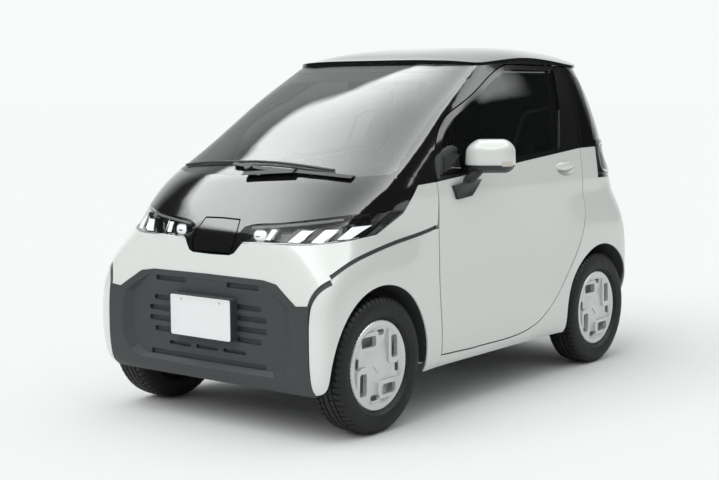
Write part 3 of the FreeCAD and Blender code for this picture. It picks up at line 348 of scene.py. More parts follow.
slotFinish = {
    "white_paint": paintWhite, "black_paint": glossBlack, "dark_plastic": darkPlastic, "trim_plastic": trimPlastic,
    "grip_plastic": gripPlastic, "hoop_plastic": hoopPlastic, "tyre": tyreRubber, "wheel_silver": wheelSilver,
    "iron": castIron, "steel": chassisBlack, "aluminium": alloy, "seat_fabric": seatCloth,
    "clear_glass": screenPane, "dark_glass": quarterPane, "lamp_glass": lampLens, "tail_lens": tailLens}
ownFinish = {"lamp_housings": glossBlack, "screen_trim": gripPlastic}
for sideName, skinName, sign in (("left", "doorSkinLeft", 1.0), ("right", "doorSkinRight", -1.0)):
    ownFinish["door_" + sideName] = linedPaint(skinName, whiteTone, liningTone, sign)
    ownFinish["door_glass_" + sideName] = doorPane
    ownFinish["mirror_" + sideName] = mirrorShell
slotOf = {entry["node"]: entry["material_slot"] for entry in frame["record"]["subparts"]}
for name, node in nodes.items():
    node.data.materials.clear()
    node.data.materials.append(ownFinish.get(name, slotFinish[slotOf[name]]))
print("stage: finishes on the CAD nodes")


# Shape tools. Every new piece is a grid of points worked out as whole arrays.

tool = {"patchCrease": 40, "patchCount": 9, "frontFrom": -1.6}


def gridFaces(rows, columns, roundRows=False, roundColumns=True):
    r = np.arange(rows if roundRows else rows - 1)[:, None]
    c = np.arange(columns if roundColumns else columns - 1)[None, :]
    below, beside = (r + 1) % rows, (c + 1) % columns
    quads = np.stack([r * columns + c, r * columns + beside, below * columns + beside, below * columns + c], -1)
    return quads.reshape(-1, 4)


def putPiece(name, points, faces, material, body="body", crease=35):
    # edges sharper than the crease, in degrees, stay sharp
    mesh = bpy.data.meshes.new(name)
    mesh.from_pydata(points.tolist(), [], faces)
    mesh.materials.append(material)
    work = bmesh.new()
    work.from_mesh(mesh)
    bmesh.ops.recalc_face_normals(work, faces=work.faces)
    work.to_mesh(mesh)
    work.free()
    mesh.polygons.foreach_set("use_smooth", np.full(len(mesh.polygons), True))
    mesh.set_sharp_from_angle(angle=math.radians(crease))
    piece = bpy.data.objects.new(name, mesh)
    bpy.context.scene.collection.objects.link(piece)
    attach(piece, body)
    return piece


def frameAt(origin, out, up=(0, 0, 1)):
    # place with z along out and y as near up as it can be
    out = Vector(out).normalized()
    side = Vector(up).cross(out).normalized()
    columns = Matrix((side, out.cross(side), out)).transposed()
    return Matrix.Translation(origin) @ columns.to_4x4()


def carried(points, place):
    # points turned and moved by a place
    whole = np.array(place)
    return points @ whole[:3, :3].T + whole[:3, 3]


def roundedRing(halfWide, halfHigh, corner, steps):
    # four corner centres plus corner x (cos a, sin a), a a quarter turn at each
    angle = np.linspace(0, np.pi / 2, steps + 1)[None, :] + (np.pi / 2) * np.arange(4)[:, None]
    x = np.array([1, -1, -1, 1])[:, None] * (halfWide - corner) + corner * np.cos(angle)
    y = np.array([1, 1, -1, -1])[:, None] * (halfHigh - corner) + corner * np.sin(angle)
    return np.column_stack([x.ravel(), y.ravel()])


def roundedBlock(name, rings, place, material, body="body", steps=6):
    # rounded outlines (halfWide, halfHigh, corner, height) stacked along z, closed by a point at each end
    count = 4 * (steps + 1)
    layers = [np.column_stack([roundedRing(w, h, c, steps), np.full(count, z)]) for w, h, c, z in rings]
    points = np.vstack(layers + [[[0, 0, rings[0][3]], [0, 0, rings[-1][3]]]])
    around = np.arange(count)
    beside = (around + 1) % count
    last = (len(rings) - 1) * count
    faces = gridFaces(len(rings), count).tolist()
    faces += np.column_stack([beside, around, np.full(count, len(points) - 2)]).tolist()
    faces += np.column_stack([last + around, last + beside, np.full(count, len(points) - 1)]).tolist()
    return putPiece(name, carried(points, place), faces, material, body)


def discRings(radius, shares):
    # round outlines for roundedBlock from (share of the radius, height)
    return [(radius * k, radius * k, radius * k, height) for k, height in shares]


def smoothPath(stops, count, closed=False):
    # Catmull-Rom curve through the stops
    p = np.asarray(stops, float)
    ends = (p[-1], [p[0], p[1]]) if closed else (2 * p[0] - p[1], 2 * p[-1] - p[-2])
    p = np.vstack([ends[0], p, ends[1]])
    spans = len(p) - 3
    u = np.linspace(0, spans, count, endpoint=not closed)
    k = np.minimum(u.astype(int), spans - 1)
    f = (u - k)[:, None]
    a, b, c, d = p[k], p[k + 1], p[k + 2], p[k + 3]
    return 0.5 * (2 * b + (c - a) * f + (2 * a - 5 * b + 4 * c - d) * f ** 2 + (3 * b - a - 3 * c + d) * f ** 3)


def strip(name, path, profile, up, material, body="body", closed=False):
    # profile (across, out) carried along a path: across is along x up, out is across x along
    along = np.roll(path, -1, 0) - np.roll(path, 1, 0) if closed else np.gradient(path, axis=0)
    along /= np.linalg.norm(along, axis=1)[:, None]
    across = np.cross(along, up)
    across /= np.linalg.norm(across, axis=1)[:, None]
    out = np.cross(across, along)
    points = path[:, None] + profile[None, :, :1] * across[:, None] + profile[None, :, 1:] * out[:, None]
    rows, columns = points.shape[:2]
    faces = gridFaces(rows, columns, roundRows=closed).tolist()
    if not closed:
        faces += [list(range(columns)), list(range((rows - 1) * columns, rows * columns))]
    return putPiece(name, points.reshape(-1, 3), faces, material, body)


def roundProfile(radius, count=10, flat=1.0):
    # radius x (cos a, flat sin a)
    angle = np.linspace(0, 2 * np.pi, count, endpoint=False)
    return np.column_stack([radius * np.cos(angle), radius * flat * np.sin(angle)])


def treeOf(mesh):
    return BVHTree.FromPolygons([v.co[:] for v in mesh.vertices], [p.vertices[:] for p in mesh.polygons])


trees = {}


def touch(name, start, way, lift=0.0):
    # first point of a surface along a line, lifted off it along the surface's normal
    if name not in trees:
        trees[name] = treeOf(nodes[name].data)
    place, normal = trees[name].ray_cast(Vector(start), Vector(way))[:2]
    if place is None:
        raise ValueError(f"no surface of {name} from {tuple(start)}")
    if normal.dot(Vector(way)) > 0:
        normal = -normal
    return np.array(place + normal * lift)


def joinSheets(name, sheets, rows, columns, material, slot, body):
    # two sheets of one grid of points, joined by a wall round their rims
    index = np.arange(rows * columns).reshape(rows, columns)
    rim = np.concatenate([index[0], index[1:, -1], index[-1, -2::-1], index[-2:0:-1, 0]])
    after = np.roll(rim, -1)
    size = rows * columns
    grid = gridFaces(rows, columns, roundColumns=False)
    walls = np.column_stack([rim, after, after + size, rim + size])
    faces = grid.tolist() + (grid[:, ::-1] + size).tolist() + walls.tolist()
    return putPiece(name, np.vstack(sheets), faces, material, body, tool["patchCrease"])


def skinPatch(name, node, corners, way, lifts, material, slot, body="body"):
    # surface through 3 x 3 points felt on a node: sum of a_i(u) a_j(v) p_ij with the three
    # Lagrange weights for 0, 1/2, 1, once at each lift
    a, b, c, d = (np.array(p, float) for p in corners)
    three = np.array((0, 0.5, 1))
    s, t = three[:, None, None], three[None, :, None]
    starts = (1 - t) * ((1 - s) * a + s * b) + t * ((1 - s) * d + s * c)
    count = tool["patchCount"]
    u = np.linspace(0, 1, count)
    weights = np.column_stack([2 * (u - 0.5) * (u - 1), 4 * u * (1 - u), 2 * u * (u - 0.5)])
    sheets = []
    for lift in lifts:
        felt = [[touch(node, start, way, lift) for start in row] for row in starts]
        sheets.append(np.einsum("ui,vj,ijk->uvk", weights, weights, felt).reshape(-1, 3))
    return joinSheets(name, sheets, count, count, material, slot, body)


def shapeOf(piece):
    depsgraph = bpy.context.evaluated_depsgraph_get()
    return bpy.data.meshes.new_from_object(piece.evaluated_get(depsgraph))


def pointsOf(mesh):
    flat = np.empty(len(mesh.vertices) * 3)
    mesh.vertices.foreach_get("co", flat)
    return flat.reshape(-1, 3)


print("stage: shape tools")


# Tyres: a rounded cross-section turned about the axle, its tread cut by grooves, shoulder gaps and
# slanted sipes. Widths count from the tyre's middle, phases are shares of one tread pitch.

tyre = {
    "x": 0.5525, "height": 0.2735, "axles": {"front": -0.875, "rear": 0.905}, "pitches": 62,
    "outline": [(0.1655, -0.0552), (0.181, -0.0556), (0.1835, -0.06), (0.196, -0.07), (0.1975, -0.0722),
        (0.2, -0.0722), (0.211, -0.0748), (0.226, -0.0768), (0.242, -0.0752), (0.2535, -0.0718),
        (0.2615, -0.0672), (0.267, -0.062)],
    "tread": [-0.0575, -0.052, -0.044, -0.04, -0.0396, -0.0346, -0.0342, -0.026, -0.017, -0.0166, -0.0106,
        -0.0102, 0.0],
    "crown": 0.2733, "crownDrop": 0.0042, "crownWide": 0.06, "treadWide": 0.0579,
    "steps": [0.0, 0.04, 0.2, 0.24, 0.5, 0.53, 0.6, 0.63, 0.82],
    "grooves": [(0.0103, 0.0168), (0.0343, 0.0399)], "grooveDeep": 0.0065,
    "gapPhase": (0.03, 0.21), "gapWide": (0.0398, 0.068), "gapDeep": 0.005,
    "sipePhase": (0.52, 0.61), "sipeWide": (0.0165, 0.0345), "sipeDeep": 0.003,
    "slant": 1.08, "slantFrom": 0.01}


def tyreSection(t):
    # radius and place of each ring of points, from the inner bead over the tread to the outer bead;
    # the tread's radius is crown - drop (|place| / wide)^3
    side = np.array(t["outline"])
    half = np.array(t["tread"])
    crown = t["crown"] - t["crownDrop"] * (np.abs(half) / t["crownWide"]) ** 3
    left = np.vstack([side, np.column_stack([crown, half])])
    right = left[-2::-1] * [1, -1]
    return np.vstack([left, right])


def addTyre(name, x, y, side, t):
    # radius less the deepest cut there, turned by the pitch's phase and by slant x width
    section = tyreSection(t)
    steps = np.array(t["steps"])
    turn = ((np.arange(t["pitches"])[:, None] + steps[None, :]) / t["pitches"]).ravel() * 2 * np.pi
    phase = np.tile(steps, t["pitches"])[None, :]
    radius, place = section[:, 0][:, None], section[:, 1][:, None]
    width = np.abs(place)

    def within(value, limits):
        return (value > limits[0]) & (value < limits[1])

    ring = (within(width, t["grooves"][0]) | within(width, t["grooves"][1])) & (width < t["treadWide"])
    gap = within(phase, t["gapPhase"]) & within(width, t["gapWide"])
    sipe = within(phase, t["sipePhase"]) & within(width, t["sipeWide"])
    cut = np.where(ring, t["grooveDeep"], 0) + np.where(gap, t["gapDeep"], 0)
    reach = radius - np.maximum(cut, np.where(sipe, t["sipeDeep"], 0))
    angle = turn[None, :] + np.sign(place) * t["slant"] * np.maximum(width - t["slantFrom"], 0)
    points = np.stack([x + side * (place + 0 * angle), y + reach * np.cos(angle),
                       t["height"] + reach * np.sin(angle)], -1)
    rows, columns = points.shape[:2]
    faces = gridFaces(rows, columns, roundRows=True).tolist()
    rubber = putPiece("tyre_" + name + "_rubber", points.reshape(-1, 3), faces, tyreRubber, "wheel_" + name,
                      crease=38)
    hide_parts("tyre_" + name)


for end, axleY in tyre["axles"].items():
    for sideName, sign in bothSides:
        addTyre(end + "_" + sideName, sign * tyre["x"], axleY, sign, tyre)
print("stage: tyres with tread")


# Bare number plate in its recess, with a raised edge and two domed screws

plate = {
    "place": (0, -1.2429, 0.454), "halfWide": 0.1645, "halfHigh": 0.082, "corner": 0.009, "thick": 0.0011,
    "edge": 0.0055, "edgeSlope": 0.0008, "raised": 0.0004, "bevel": 0.0004, "middle": (0.1, 0.05, 0.004),
    "screwX": 0.105, "screwUp": 0.062, "screwRadius": 0.007,
    "screwDome": [(1, 0.0008), (1, 0.0013), (0.8, 0.0017), (0.3, 0.00185)], "screwSlot": (0.28, 0.06, 0.05, 0.0012)}


def addPlate(p):
    w, h, c, t = p["halfWide"], p["halfHigh"], p["corner"], p["thick"]
    e, b, top = p["edge"], p["bevel"], p["thick"] + p["raised"]
    f = e + p["edgeSlope"]
    rings = [(w - b, h - b, c, 0), (w, h, c, 0.0003), (w, h, c, t), (w - 0.0006, h - 0.0006, c, top),
             (w - e, h - e, c * 0.6, top), (w - f, h - f, c * 0.5, t), (*p["middle"], t)]
    ahead = (0, -1, 0)
    roundedBlock("number_plate_blank", rings, frameAt(p["place"], ahead), plateWhite)
    for sideName, sign in bothSides[::-1]:
        r = p["screwRadius"]
        place = (sign * p["screwX"], p["place"][1], p["place"][2] + p["screwUp"])
        wide, high, corner, height = p["screwSlot"]
        rings = discRings(r, p["screwDome"]) + [(r * wide, r * high, r * corner, height)]
        roundedBlock("plate_screw_" + sideName, rings, frameAt(place, ahead), chrome, steps=4)


plateWhite = finish("plateWhite", (0.8, 0.81, 0.82), 0.32, coat=0.3, tint=0.02, tintScale=60.0, bump=0.03,
                    bumpScale=500)
chrome = finish("brightChrome", (0.8, 0.81, 0.82), 0.12, metal=1.0, tint=0.02, tintScale=300.0, roughVary=0.2)
addPlate(plate)
print("stage: number plate")


# Headlamp insides: a round lens in a ring, slanted blocks (x0, x1, slant, low, high), thin arcs (x0, slant)
# between them, a frosted band along the top and a bright rim below

lamp = {
    "eye": (0.218, 0.796), "eyeWide": 0.029, "eyeHigh": 0.0195, "eyeSunk": -0.021, "eyeFace": (0.12, -1, 0.1),
    "eyeDome": [(1.0, -0.002), (1.0, 0.002), (0.94, 0.005), (0.78, 0.0078), (0.52, 0.0098), (0.22, 0.0108)],
    "ringWide": 1.12, "ringHigh": 1.16, "ringCorner": 1.15, "ringHeight": 0.002, "ringThick": 0.0016,
    "blockDepth": (-0.0116, -0.0092),
    "blocks": [(0.262, 0.284, 0.013, 0.7765, 0.8165), (0.374, 0.424, 0.036, 0.7745, 0.8185),
        (0.47, 0.512, 0.028, 0.7765, 0.8225), (0.55, 0.58, 0.02, 0.786, 0.828)],
    "arcs": [(0.296, 0.012), (0.436, 0.03), (0.522, 0.024)], "arcLow": 0.779, "arcHigh": 0.824,
    "arcShares": (0.0, 0.35, 0.7, 1.0), "arcBend": 1.6, "arcSunk": -0.01, "arcThick": 0.0015,
    "rim": [(0.16, 0.756), (0.25, 0.7595), (0.338, 0.7625), (0.466, 0.7655), (0.545, 0.7735), (0.59, 0.785)],
    "rimLift": 0.0004, "rimThick": 0.0016,
    "band": [(0.17, 0.8155), (0.28, 0.8265), (0.388, 0.838), (0.48, 0.85), (0.54, 0.858)],
    "bandSunk": -0.008, "bandThick": 0.0052}


def addLamp(sideName, sign, m):
    inwards, outwards = (0, 1, 0), (0, -1, 0)

    def lens(x, z, lift):
        return touch("headlamps", (sign * x, tool["frontFrom"], z), inwards, lift)

    def rod(name, path, profile, material, up=outwards, closed=False):
        strip(name, path, profile, up, material, closed=closed)

    w, h = m["eyeWide"], m["eyeHigh"]
    place = frameAt(lens(*m["eye"], m["eyeSunk"]), (sign * m["eyeFace"][0], *m["eyeFace"][1:]))
    rings = [(w * k, h * k, h * k, height) for k, height in m["eyeDome"]]
    roundedBlock("lamp_eye_" + sideName, rings, place, ledWhite, steps=8)
    ring = roundedRing(w * m["ringWide"], h * m["ringHigh"], h * m["ringCorner"], 8)
    loop = carried(np.column_stack([ring, np.full(len(ring), m["ringHeight"])]), place)
    rod("lamp_ring_" + sideName, loop, roundProfile(m["ringThick"], 8), chrome, (0, -1, 0.1), closed=True)
    for k, (x0, x1, slant, low, high) in enumerate(m["blocks"]):
        corners = [(sign * x, tool["frontFrom"], z)
                   for x, z in ((x0, low), (x1, low), (x1 + slant, high), (x0 + slant, high))]
        skinPatch(f"lamp_block_{sideName}_{k + 1}", "headlamps", corners, inwards, m["blockDepth"],
                  ledWhite, "lamp_glass")
    for k, (x0, slant) in enumerate(m["arcs"]):
        stops = [lens(x0 + slant * share ** m["arcBend"], m["arcLow"] + share * (m["arcHigh"] - m["arcLow"]),
                      m["arcSunk"]) for share in m["arcShares"]]
        rod(f"lamp_arc_{sideName}_{k + 1}", smoothPath(stops, 14), roundProfile(m["arcThick"], 8), chrome)
    band = smoothPath([lens(x, z, m["bandSunk"]) for x, z in m["band"]], 30)
    rod("lamp_band_" + sideName, band, roundProfile(m["bandThick"], flat=0.35), frosted)
    rim = smoothPath([lens(x, z, m["rimLift"]) for x, z in m["rim"]], 40)
    rod("lamp_rim_" + sideName, rim, roundProfile(m["rimThick"], 8, 0.6), chrome)


ledWhite = finish("ledWhite", (0.9, 0.92, 0.94), 0.25, coat=0.6, tint=0.05, tintScale=250.0, glow=0.8)
frosted = finish("frostedBand", (0.3, 0.31, 0.32), 0.35, coat=0.5, tint=0.1, tintScale=200.0)
for sideName, sign in bothSides:
    addLamp(sideName, sign, lamp)
print("stage: headlamp insides")


# Tail lamps: a light loop on each raised ring, felt along one slanted way

tailLoop = {
    "stops": [(0.487, 1.146, 0.98), (0.486, 1.142, 1.018), (0.487, 1.136, 1.056), (0.5, 1.112, 1.081),
        (0.53, 1.07, 1.087), (0.558, 1.01, 1.084), (0.577, 0.968, 1.07), (0.588, 0.952, 1.04),
        (0.595, 0.95, 1.01), (0.603, 0.953, 0.976), (0.604, 0.97, 0.953), (0.59, 1.01, 0.945),
        (0.555, 1.08, 0.944), (0.51, 1.128, 0.952)],
    "out": (0.78, 0.62), "far": 0.5, "lean": 0.1, "lift": 0.0002, "thick": 0.0058}


def addTailLoop(sideName, sign, t):
    outX, outY = t["out"]
    startX, startY = outX * t["far"], outY * t["far"]
    stops = [touch("tail_lamps", (sign * (x + startX), y + startY, z), (-sign * outX, -outY, 0), t["lift"])
             for x, y, z in t["stops"]]
    strip("tail_light_loop_" + sideName, smoothPath(stops, 90, closed=True), roundProfile(t["thick"], flat=0.3),
          (sign * outX, outY, t["lean"]), tailGlow, closed=True)


tailGlow = finish("tailGlow", (0.72, 0.72, 0.71), 0.22, coat=0.8, tint=0.05, tintScale=120.0)
for sideName, sign in bothSides:
    addTailLoop(sideName, sign, tailLoop)
print("stage: tail lamp loops")


# Door mirrors: domed two-tone housing on an arm and foot, silvered glass, and a small side lamp

mirror = {
    "centre": (0.703, -0.21, 1.069), "turn": 33.0, "halfWide": 0.107, "halfHigh": 0.0722, "corner": 0.048,
    "rim": [(0.0905, 0.059, 0.024, 0.034), (0.0905, 0.059, 0.024, 0.0425), (0.0935, 0.062, 0.027, 0.043),
        (0.1038, 0.069, 0.038, 0.0425), (0.107, 0.0722, 0.048, 0.037)],
    "drawIn": (0.3, 0.14), "domeFrom": 0.037, "domeDeep": 0.079, "domeRings": 12,
    "glass": (0.0897, 0.0582, 0.0235, 0.0345), "glassThick": 0.0028, "glassBevel": (0.0022, 0.0008),
    "arm": [(0.606, -0.262, 0.95), (0.632, -0.25, 0.978), (0.656, -0.236, 1.006), (0.676, -0.226, 1.034)],
    "armThick": 0.023, "footFrom": 0.9,
    "foot": ((-0.34, 0.893), (-0.235, 0.902), (-0.15, 0.968), (-0.365, 0.952)), "footDepth": (-0.015, 0.0),
    "lamp": (0.046, 0.092, -0.041, -0.021), "lampWay": (0.616, 0.788), "lampFrom": 0.4,
    "lampDepth": (-0.0012, 0.0012)}


def addMirror(sideName, sign, m):
    # dome: the outline shrinks with (1 - t^2)^0.4 while t runs from 0 at its rim to 1 at its front
    turn = math.radians(m["turn"])
    middle = Vector((sign * m["centre"][0], m["centre"][1], m["centre"][2]))
    place = frameAt(middle, (-sign * math.sin(turn), math.cos(turn), 0))
    body = "door_" + sideName
    rings = list(m["rim"])
    for t in np.sin(np.linspace(0, np.pi / 2, m["domeRings"])[1:-1]):
        k = (1 - t * t) ** 0.4
        rings.append((m["halfWide"] * k, m["halfHigh"] * k, m["corner"] * k, m["domeFrom"] - t * m["domeDeep"]))
    housing = roundedBlock("mirror_shell_" + sideName, rings, place, mirrorShell, body, steps=8)
    # above its middle the housing draws in by a share of (height / halfHigh)^2, more towards the car
    turned = pointsOf(housing.data) - np.array(middle)
    outward = np.array((math.cos(turn), sign * math.sin(turn), 0)) * sign
    along, up = turned @ outward, turned[:, 2]
    share = np.where(along < 0, *m["drawIn"]) * (np.maximum(up, 0) / m["halfHigh"]) ** 2
    fresh = turned - outward * (along * share)[:, None] + np.array(middle)
    housing.data.vertices.foreach_set("co", fresh.ravel())
    housing.data.update()
    w, h, c, back = m["glass"]
    bevel, inset = m["glassBevel"]
    front = back + m["glassThick"]
    sheet = [(w, h, c, back), (w, h, c, back + bevel), (w - inset, h - inset, c, front),
             (w * 0.5, h * 0.5, c * 0.5, front)]
    roundedBlock("mirror_glass_" + sideName, sheet, place, silvered, body)
    arm = smoothPath([(sign * x, y, z) for x, y, z in m["arm"]], 16)
    strip("mirror_arm_" + sideName, arm, roundProfile(m["armThick"], 18, 0.72), (0, -1, 0.2), gripPlastic,
          body)
    corners = [(sign * m["footFrom"], y, z) for y, z in m["foot"]]
    skinPatch("mirror_foot_" + sideName, "mirror_" + sideName, corners, (-sign, 0, 0), m["footDepth"], gripPlastic,
              "black_paint", body)
    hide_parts("mirror_" + sideName)
    trees["shell_" + sideName] = treeOf(housing.data)
    a, b, low, high = m["lamp"]
    wayX, wayY = m["lampWay"]
    backX, backY = wayX * m["lampFrom"], wayY * m["lampFrom"]
    corners = [middle + Vector((sign * (wayY * along + backX), wayX * along - backY, up))
               for along, up in ((a, low), (b, low), (b, high), (a, high))]
    skinPatch("mirror_side_lamp_" + sideName, "shell_" + sideName, corners, (-sign * wayX, wayY, 0), m["lampDepth"],
              sideLampLens, "lamp_glass", body)


silvered = finish("silveredGlass", (0.75, 0.77, 0.78), 0.02, metal=1.0, tint=0.01, tintScale=30.0)
sideLampLens = finish("sideLampLens", (0.6, 0.56, 0.5), 0.18, coat=0.8, tint=0.08, tintScale=160.0)
for sideName, sign in bothSides:
    addMirror(sideName, sign, mirror)
print("stage: door mirrors")


# Red reflectors in the rear bumper, a lamp strip on the hatch, and a bare black corner in each side window

patch = {
    "reflector": [(0.352, 0.402), (0.432, 0.402), (0.432, 0.428), (0.352, 0.428)],
    "reflectorDepth": (-0.003, 0.0008),
    "corner": [(-0.392, 1.004), (-0.256, 1.074), (-0.3, 1.082), (-0.38, 1.07)],
    "cornerDepth": (-0.001, 0.0018),
    "stopLamp": [(-0.11, 1.372), (0.11, 1.372), (0.11, 1.386), (-0.11, 1.386)], "stopDepth": (-0.001, 0.005),
    "behind": 1.6, "beside": 0.9}


def addPatches(m):
    forwards = (0, -1, 0)
    for sideName, sign in bothSides:
        corners = [(sign * x, m["behind"], z) for x, z in m["reflector"]]
        skinPatch("rear_reflector_" + sideName, "rear_bumper", corners, forwards, m["reflectorDepth"], redLens,
                  "tail_lens")
        corners = [(sign * m["beside"], y, z) for y, z in m["corner"]]
        skinPatch("window_corner_" + sideName, "door_glass_" + sideName, corners, (-sign, 0, 0), m["cornerDepth"],
                  gripPlastic, "black_paint", "door_" + sideName)
    corners = [(x, m["behind"], z) for x, z in m["stopLamp"]]
    skinPatch("high_stop_lamp", "hatch", corners, forwards, m["stopDepth"], redLens, "tail_lens", "hatch")


redLens = finish("redLens", (0.3, 0.012, 0.014), 0.15, coat=0.8, tint=0.15, tintScale=180.0, bump=0.3,
                 bumpScale=260)
addPatches(patch)
print("stage: reflectors and window corners")


# Seats: each pad swells in a cloth simulation and then gets its seams: (ending, insets from the pad's
# side and end, corner).

seat = {
    "merge": 0.0002, "voxel": 0.01, "shrink": 0.01, "pressure": 4.0, "frames": 20, "cap": 0.024, "smooth": 4,
    "fill": 0.6, "backTall": 0.35, "lean": 14.0, "cushionReach": 0.4, "backReach": 0.6,
    "cord": 0.0028, "cordLift": 0.0006,
    "seams": {"cushion": [("_seam", 0.085, 0.085, 0.05), ("_welt", 0.045, 0.045, 0.07)],
        "back": [("_seam", 0.075, 0.09, 0.03)], "head": [("_seam", 0.045, 0.055, 0.03)]}}


def solidsOf(name, s):
    # points and faces of each loose solid in a node, its doubles merged
    work = bmesh.new()
    work.from_mesh(nodes[name].data)
    bmesh.ops.remove_doubles(work, verts=work.verts, dist=s["merge"])
    work.verts.ensure_lookup_table()
    left, groups = set(range(len(work.verts))), []
    while left:
        edge, group = [left.pop()], []
        while edge:
            k = edge.pop()
            group.append(k)
            near = {e.other_vert(work.verts[k]).index for e in work.verts[k].link_edges} & left
            left -= near
            edge.extend(near)
        groups.append(sorted(group))
    shapes = []
    for group in groups:
        index = {k: n for n, k in enumerate(group)}
        points = np.array([work.verts[k].co[:] for k in group])
        faces = [[index[v.index] for v in f.verts] for f in work.faces if f.verts[0].index in index]
        shapes.append((points, faces))
    work.free()
    return shapes


def addPad(name, points, faces, s):
    # p' = p + d min(1, cap / |d|), d the way the cloth moved each point
    piece = putPiece(name, points, faces, seatCloth, crease=180)
    normals = np.empty(len(points) * 3)
    piece.data.vertices.foreach_get("normal", normals)
    small = points - normals.reshape(-1, 3) * s["shrink"]
    piece.data.vertices.foreach_set("co", small.ravel())
    remesh = piece.modifiers.new("remesh", "REMESH")
    remesh.mode = "VOXEL"
    remesh.voxel_size = s["voxel"]
    remesh.use_smooth_shade = True
    even = piece.modifiers.new("even", "SMOOTH")
    even.iterations = s["smooth"]
    mesh = shapeOf(piece)
    piece.modifiers.clear()
    piece.data = mesh
    swell = piece.modifiers.new("cloth", "CLOTH")
    swell.settings.use_pressure = True
    swell.settings.uniform_pressure_force = s["pressure"]
    swell.settings.effector_weights.gravity = 0
    swell.point_cache.frame_start = 1
    swell.point_cache.frame_end = s["frames"]
    for number in range(1, s["frames"] + 1):
        bpy.context.scene.frame_set(number)
    start, end = pointsOf(mesh), pointsOf(shapeOf(piece))
    moved = end - start
    far = np.linalg.norm(moved, axis=1)[:, None]
    held = start + moved * np.minimum(1, s["cap"] / np.maximum(far, 1e-9))
    piece.modifiers.clear()
    mesh.vertices.foreach_set("co", held.ravel())
    bpy.context.scene.frame_set(1)
    mesh.polygons.foreach_set("use_smooth", np.full(len(mesh.polygons), True))
    mesh.update()
    trees[name] = treeOf(mesh)
    rounding = piece.modifiers.new("rounding", "SUBSURF")
    rounding.levels = rounding.render_levels = 1
    return piece


def addSeam(name, pad, middle, wide, high, corner, out, reach, s):
    # a rounded outline felt on the pad from outside, with a round cord laid along it
    ring = roundedRing(wide, high, corner, 6)
    starts = carried(np.column_stack([ring, np.full(len(ring), reach)]), frameAt(middle, out, (0, 0.2, 1)))
    stops = [touch(pad, start, -np.array(out), s["cordLift"]) for start in starts]
    strip(name, smoothPath(stops, 120, closed=True), roundProfile(s["cord"], 8, 0.8), out, seamCord,
          closed=True)


def addSeats(node, s):
    # the left seat's pads come first, the lower ones before the higher ones
    lean = math.radians(s["lean"])
    for points, faces in sorted(solidsOf(node, s), key=lambda shape: (shape[0][:, 0].mean() < 0,
                                                                      shape[0][:, 2].mean())):
        low, high = points.min(0), points.max(0)
        middle, half = (low + high) / 2, (high - low) / 2
        part, out, endAxis, reach = "cushion", (0, 0, 1), 1, s["cushionReach"]
        if node == "seat_backs":
            part = "back" if high[2] - low[2] > s["backTall"] else "head"
            out, endAxis, reach = (0, -math.cos(lean), math.sin(lean)), 2, s["backReach"]
        label = "seat_" + part + ("_left" if middle[0] > 0 else "_right")
        addPad(label, points, faces, s)
        for ending, sideIn, endIn, corner in s["seams"][part]:
            addSeam(label + ending, label, middle, half[0] - sideIn, half[endAxis] - endIn, corner, out, reach, s)
    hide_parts(node)


seamCord = cloth("seamCord", (0.055, 0.056, 0.06), threadWide=0.0008, sheen=0.2)
addSeats("seat_cushions", seat)
addSeats("seat_backs", seat)
print("stage: seats")


# Dashboard dressing: instrument hood with a dark screen, a middle screen, air vents, and the wheel's pad
# with its two levers. Rings are (halfWide, halfHigh, corner, height), vents (x, halfWide).

dash = {
    "hood": (-0.252, -0.505, 0.944), "hoodFace": (0, 1, 0.06), "hoodScreen": (-0.252, -0.438, 0.948),
    "hoodRings": [(0.085, 0.018, 0.015, 0.0), (0.125, 0.036, 0.03, 0.03), (0.138, 0.044, 0.036, 0.075),
        (0.139, 0.045, 0.037, 0.088), (0.135, 0.041, 0.033, 0.09), (0.13, 0.036, 0.03, 0.086),
        (0.122, 0.03, 0.024, 0.066)],
    "hoodScreenRings": [(0.118, 0.026, 0.02, 0.0), (0.118, 0.026, 0.02, 0.002), (0.116, 0.024, 0.02, 0.003)],
    "feltFrom": 0.2, "screen": (0.02, 0.868), "screenFace": (0, 1, 0.12),
    "screenRings": [(0.098, 0.056, 0.012, -0.006), (0.098, 0.056, 0.012, 0.008), (0.095, 0.053, 0.011, 0.011),
        (0.09, 0.048, 0.008, 0.011), (0.089, 0.047, 0.008, 0.0104)],
    "vents": [(-0.45507, 0.034), (0.235, 0.055), (0.45507, 0.034)], "ventZ": 0.852,
    "ventRings": [(0.0, 0.03, 0.012, -0.004), (0.0, 0.03, 0.012, 0.005), (0.002, 0.028, 0.011, 0.007),
        (0.005, 0.025, 0.009, 0.0065), (0.006, 0.024, 0.009, 0.001)],
    "barGap": 0.0145, "barIn": 0.006, "barOut": 0.004, "barThick": 0.0045,
    "wheel": (-0.252, -0.262, 0.905), "wheelAxis": (0, 0.883, 0.469),
    "padRings": [(0.05, 0.04, 0.02, -0.022), (0.072, 0.058, 0.03, -0.012), (0.078, 0.064, 0.034, 0.004),
        (0.074, 0.06, 0.032, 0.016), (0.06, 0.047, 0.026, 0.023), (0.036, 0.028, 0.018, 0.026)],
    "lever": [(0.028, -0.085, -0.036), (0.085, -0.076, -0.022), (0.145, -0.07, -0.004)], "leverThick": 0.006}


